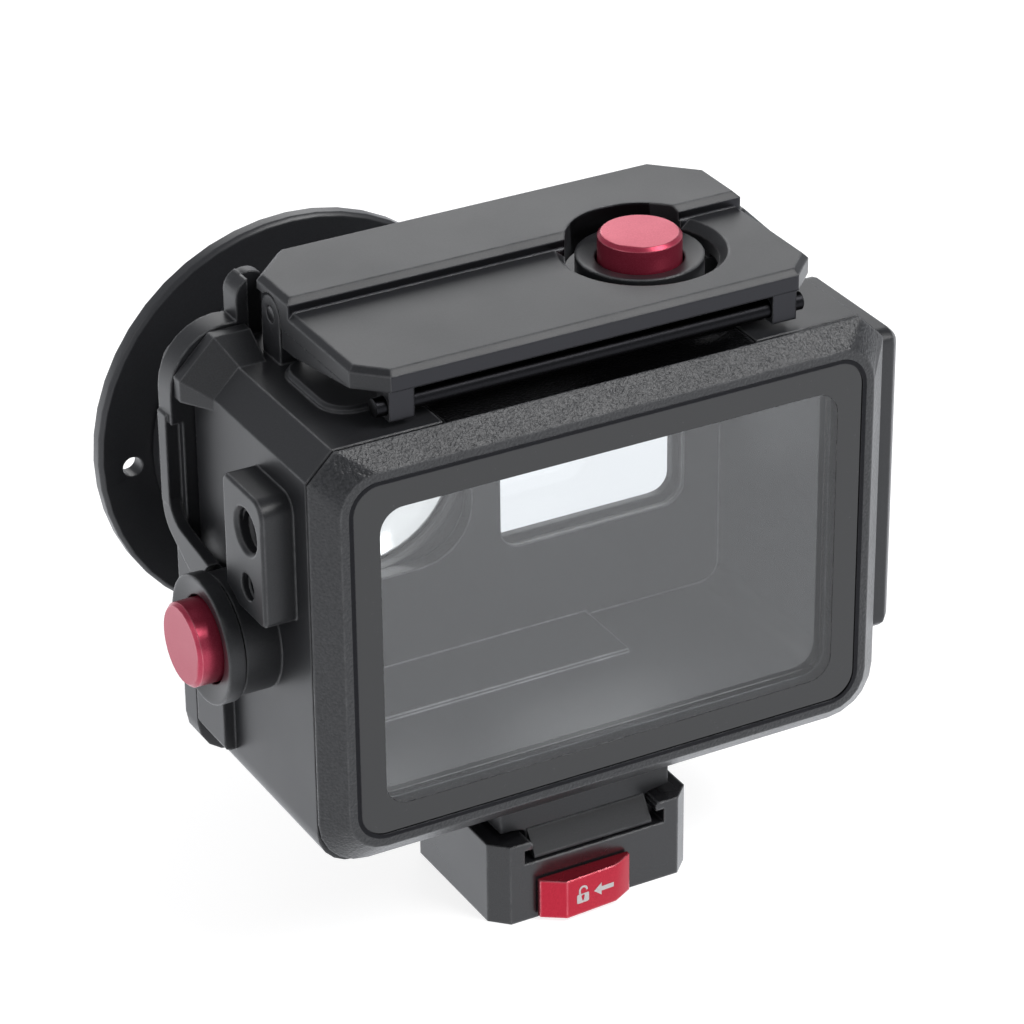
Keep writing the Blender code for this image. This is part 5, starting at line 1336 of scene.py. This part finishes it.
@dataclass
class QuickRelease(SubAssembly):
    """Base with its threaded sockets, the red slider and the signs on it."""

    socket_half_spacing: float = 7.0
    socket_ahead: float = 6.0
    socket_radius: float = 2.6
    socket_span: Point = (0.1, 6.0)
    face_left: Point = (-6.1, -14.2)
    face_right: Point = (1.9, -13.7)
    ink: float = 0.03
    dressings: tuple[Dressing, ...] = (
        Dressing(("quick_release_base",), Finish.BASE, 0.45, facets=3),
        Dressing(("base_cover",), Finish.BASE, 0.15),
        Dressing(("release_slider",), Finish.RED, 0.18),
        Dressing(("lock_bolt", "release_spring"), Finish.STEEL),
    )

    def add_forms(self) -> None:
        """Add the sockets' threads and the printed signs."""
        for name, side in (("left", -1), ("right", 1)):
            centre = (side * self.socket_half_spacing, self.socket_ahead)
            self.add(TRIPOD_THREAD.build("socket_thread_" + name, Axis.Z, centre,
                                         self.socket_radius, self.socket_span,
                                         self.finishes.get(Finish.BASE)), "base")
        self.add(self._sign("lock_sign", Padlock().outlines()), "release")
        self.add(self._sign("arrow_sign", [Arrow().outline()]), "release")

    def _on_face(self, x: float, z: float, proud: float) -> Vector:
        """Point on the slider's slanted rear face.

        Args:
            x: Across, millimetres.
            z: Up, millimetres.
            proud: Distance out of the face.

        Returns:
            The point in metres.
        """
        (x0, y0), (x1, y1) = self.face_left, self.face_right
        slope = (y1 - y0) / (x1 - x0)
        return Vector((x, y0 + (x - x0) * slope - proud, z)) * MM

    def _sign(self, name: str, outlines: list[Outline]) -> bpy.types.Object:
        """Thin ink form on the slider's face.

        Args:
            name: The piece's name.
            outlines: Simple outlines, each printed as one solid patch.

        Returns:
            The new object.
        """
        data = bmesh.new()
        for outline in outlines:
            rings = [[data.verts.new(self._on_face(x, z, proud)) for x, z in outline]
                     for proud in (self.ink / 3, self.ink)]
            skin(data, rings, closed=False)
        return finish_mesh(name, data, self.finishes.get(Finish.SIGN))


# Studio


@dataclass(frozen=True)
class Lamp:
    """Soft box that faces the object.

    Attributes:
        name: The lamp's name.
        place: Where it stands.
        width: Its width.
        height: Its height.
        radiance: How bright its face is, where 1 is white.
        aim: The place that it faces.
    """

    name: str
    place: Triple
    width: float
    height: float
    radiance: float
    aim: Triple = (0.0, 0.0, 50.0)

    def build(self) -> None:
        """Hang the lamp."""
        data = bpy.data.lights.new(self.name, "AREA")
        data.shape = "RECTANGLE"
        data.size, data.size_y = self.width * MM, self.height * MM
        data.energy = self.radiance * math.pi * data.size * data.size_y
        lamp = bpy.data.objects.new(self.name, data)
        lamp.location = in_metres(self.place)
        lamp.rotation_mode = "QUATERNION"
        towards = Vector(self.aim) - Vector(self.place)
        lamp.rotation_quaternion = towards.to_track_quat("-Z", "Y")
        bpy.context.scene.collection.objects.link(lamp)


@dataclass
class Studio:
    """White ground, soft lamps and the camera at the photograph's angle.

    Angles are in degrees, and the lens and the sensor are in millimetres as cameras give them.
    """

    azimuth: float = -28.55
    elevation: float = 28.445
    roll: float = -0.573
    place: Triple = (-249.4, -446.6, 332.65)
    lens: float = 152.56
    sensor: float = 36.0
    nearest: float = 10.0
    farthest: float = 20000.0
    ground: float = -0.05
    ground_half_width: float = 3000.0
    floor_seen: float = 0.80
    floor_through: float = 0.57
    floor_mirrored: float = 1.22
    panes_passed: Point = (3.0, 4.0)
    cool: Colour = (0.96, 0.985, 1.03, 1)
    white: Colour = (1, 1, 1, 1)
    floor_shades: tuple[Colour, Colour] = ((0.40, 0.40, 0.40, 1), (0.42, 0.42, 0.42, 1))
    sky_up_to: float = 0.75
    sky_low: Colour = (0.72, 0.74, 0.78, 1)
    sky_high: Colour = (0.29, 0.30, 0.32, 1)
    sky_plain: Colour = (0.50, 0.50, 0.51, 1)
    lamps: tuple[Lamp, ...] = (
        Lamp("key_lamp", (400.0, -500.0, 780.0), width=500.0, height=400.0, radiance=9.5),
        Lamp("left_lamp", (-850.0, -100.0, 450.0), width=600.0, height=500.0, radiance=1.1),
        Lamp("front_lamp", (350.0, 950.0, 550.0), width=700.0, height=500.0, radiance=2.15),
    )

    def build(self) -> None:
        """Make the ground, the world, the lamps and the camera."""
        self._ground()
        self._world()
        for lamp in self.lamps:
            lamp.build()
        self._camera()

    def _ground(self) -> None:
        """Pale floor that shows white to the camera and in reflections, and keeps the shadow."""
        data = bmesh.new()
        far = self.ground_half_width
        data.faces.new([data.verts.new(at(Axis.Z, x, y, self.ground))
                        for x, y in ((-far, -far), (far, -far), (far, far), (-far, far))])
        made, graph, shader, place = start_material("pale_floor")
        patches = graph.noise(place, scale=40.0, detail=3.0)
        graph.feed(shader.inputs["Base Color"], graph.blend(patches, *self.floor_shades))
        shader.inputs["Roughness"].default_value = 0.9
        shader.inputs["Specular IOR Level"].default_value = 0.0
        glow = self._glow(graph)
        both = graph.add("AddShader", {0: shader.outputs["BSDF"], 1: glow.outputs["Emission"]})
        graph.feed(made.node_tree.nodes["Material Output"].inputs["Surface"],
                   both.outputs["Shader"])
        finish_mesh("floor", data, made)

    def _glow(self, graph: Graph) -> bpy.types.Node:
        """The floor's own white, by how a ray reaches it.

        A ray that has passed the rear glass and the front panes counts as glossy too, so the
        number of faces that it has passed tells the white behind the panes from mirrored white.

        Args:
            graph: The floor's graph.

        Returns:
            The emission node.
        """
        path = graph.add("LightPath").outputs
        seen = path["Is Camera Ray"]
        bounced = graph.work_out("MAXIMUM", path["Is Glossy Ray"], path["Is Transmission Ray"])
        level = graph.remap(path["Transmission Depth"], *self.panes_passed, self.floor_mirrored,
                            self.floor_through)
        mirrored = graph.work_out("MULTIPLY", bounced, level)
        return graph.add("Emission", {
            "Color": graph.blend(seen, self.cool, self.white),
            "Strength": graph.work_out("MULTIPLY_ADD", seen, self.floor_seen, mirrored)})

    def _world(self) -> None:
        """White behind the object, a calmer sky in reflections and a plain level of light."""
        world = bpy.data.worlds.new("studio")
        bpy.context.scene.world = world
        world.use_nodes = True
        graph = Graph(world.node_tree)
        back = world.node_tree.nodes["Background"]
        direction = graph.add("TexCoord").outputs["Generated"]
        height = graph.add("SeparateXYZ", {"Vector": direction}).outputs["Z"]
        sky = graph.blend(graph.remap(height, 0.0, self.sky_up_to), self.sky_low, self.sky_high)
        path = graph.add("LightPath").outputs
        plain = graph.blend(path["Is Diffuse Ray"], sky, self.sky_plain)
        seen = graph.work_out("MAXIMUM", path["Is Camera Ray"], path["Is Transmission Ray"])
        graph.feed(back.inputs["Color"], graph.blend(seen, plain, self.white))
        back.inputs["Strength"].default_value = 1.0

    def _camera(self) -> None:
        """Camera at the photograph's place and lens."""
        a, e, r = (math.radians(x) for x in (self.azimuth, self.elevation, self.roll))
        back = Vector((math.sin(a) * math.cos(e), -math.cos(a) * math.cos(e), math.sin(e)))
        right = (-back).cross(Vector((0, 0, 1))).normalized()
        down = (-back).cross(right)
        rolled_right = math.cos(r) * right - math.sin(r) * down
        rolled_down = math.sin(r) * right + math.cos(r) * down
        facing = Matrix((rolled_right, -rolled_down, back)).transposed().to_4x4()
        data = bpy.data.cameras.new("camera")
        data.sensor_width = self.sensor
        data.lens = self.lens
        data.clip_start, data.clip_end = self.nearest * MM, self.farthest * MM
        camera = bpy.data.objects.new("camera", data)
        camera.matrix_world = Matrix.Translation(Vector(self.place) * MM) @ facing
        bpy.context.scene.collection.objects.link(camera)
        bpy.context.scene.camera = camera


def main() -> None:
    """Load the solids, dress each sub-assembly and set up the studio."""
    logging.basicConfig(level=logging.INFO, format="%(name)s: %(message)s")
    bpy.context.scene.view_settings.view_transform = "Standard"
    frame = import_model()
    finishes, softener = Finishes(), EdgeSoftener()
    added = 0
    for kind in (Housing, LensPort, Buttons, Door, Latch, QuickRelease):
        part = kind(finishes, softener, frame["nodes"])
        part.build()
        added += len(part.added)
    Studio().build()
    log.info("%d solids dressed and %d pieces added", len(frame["nodes"]), added)


if __name__ == "__main__":
    main()
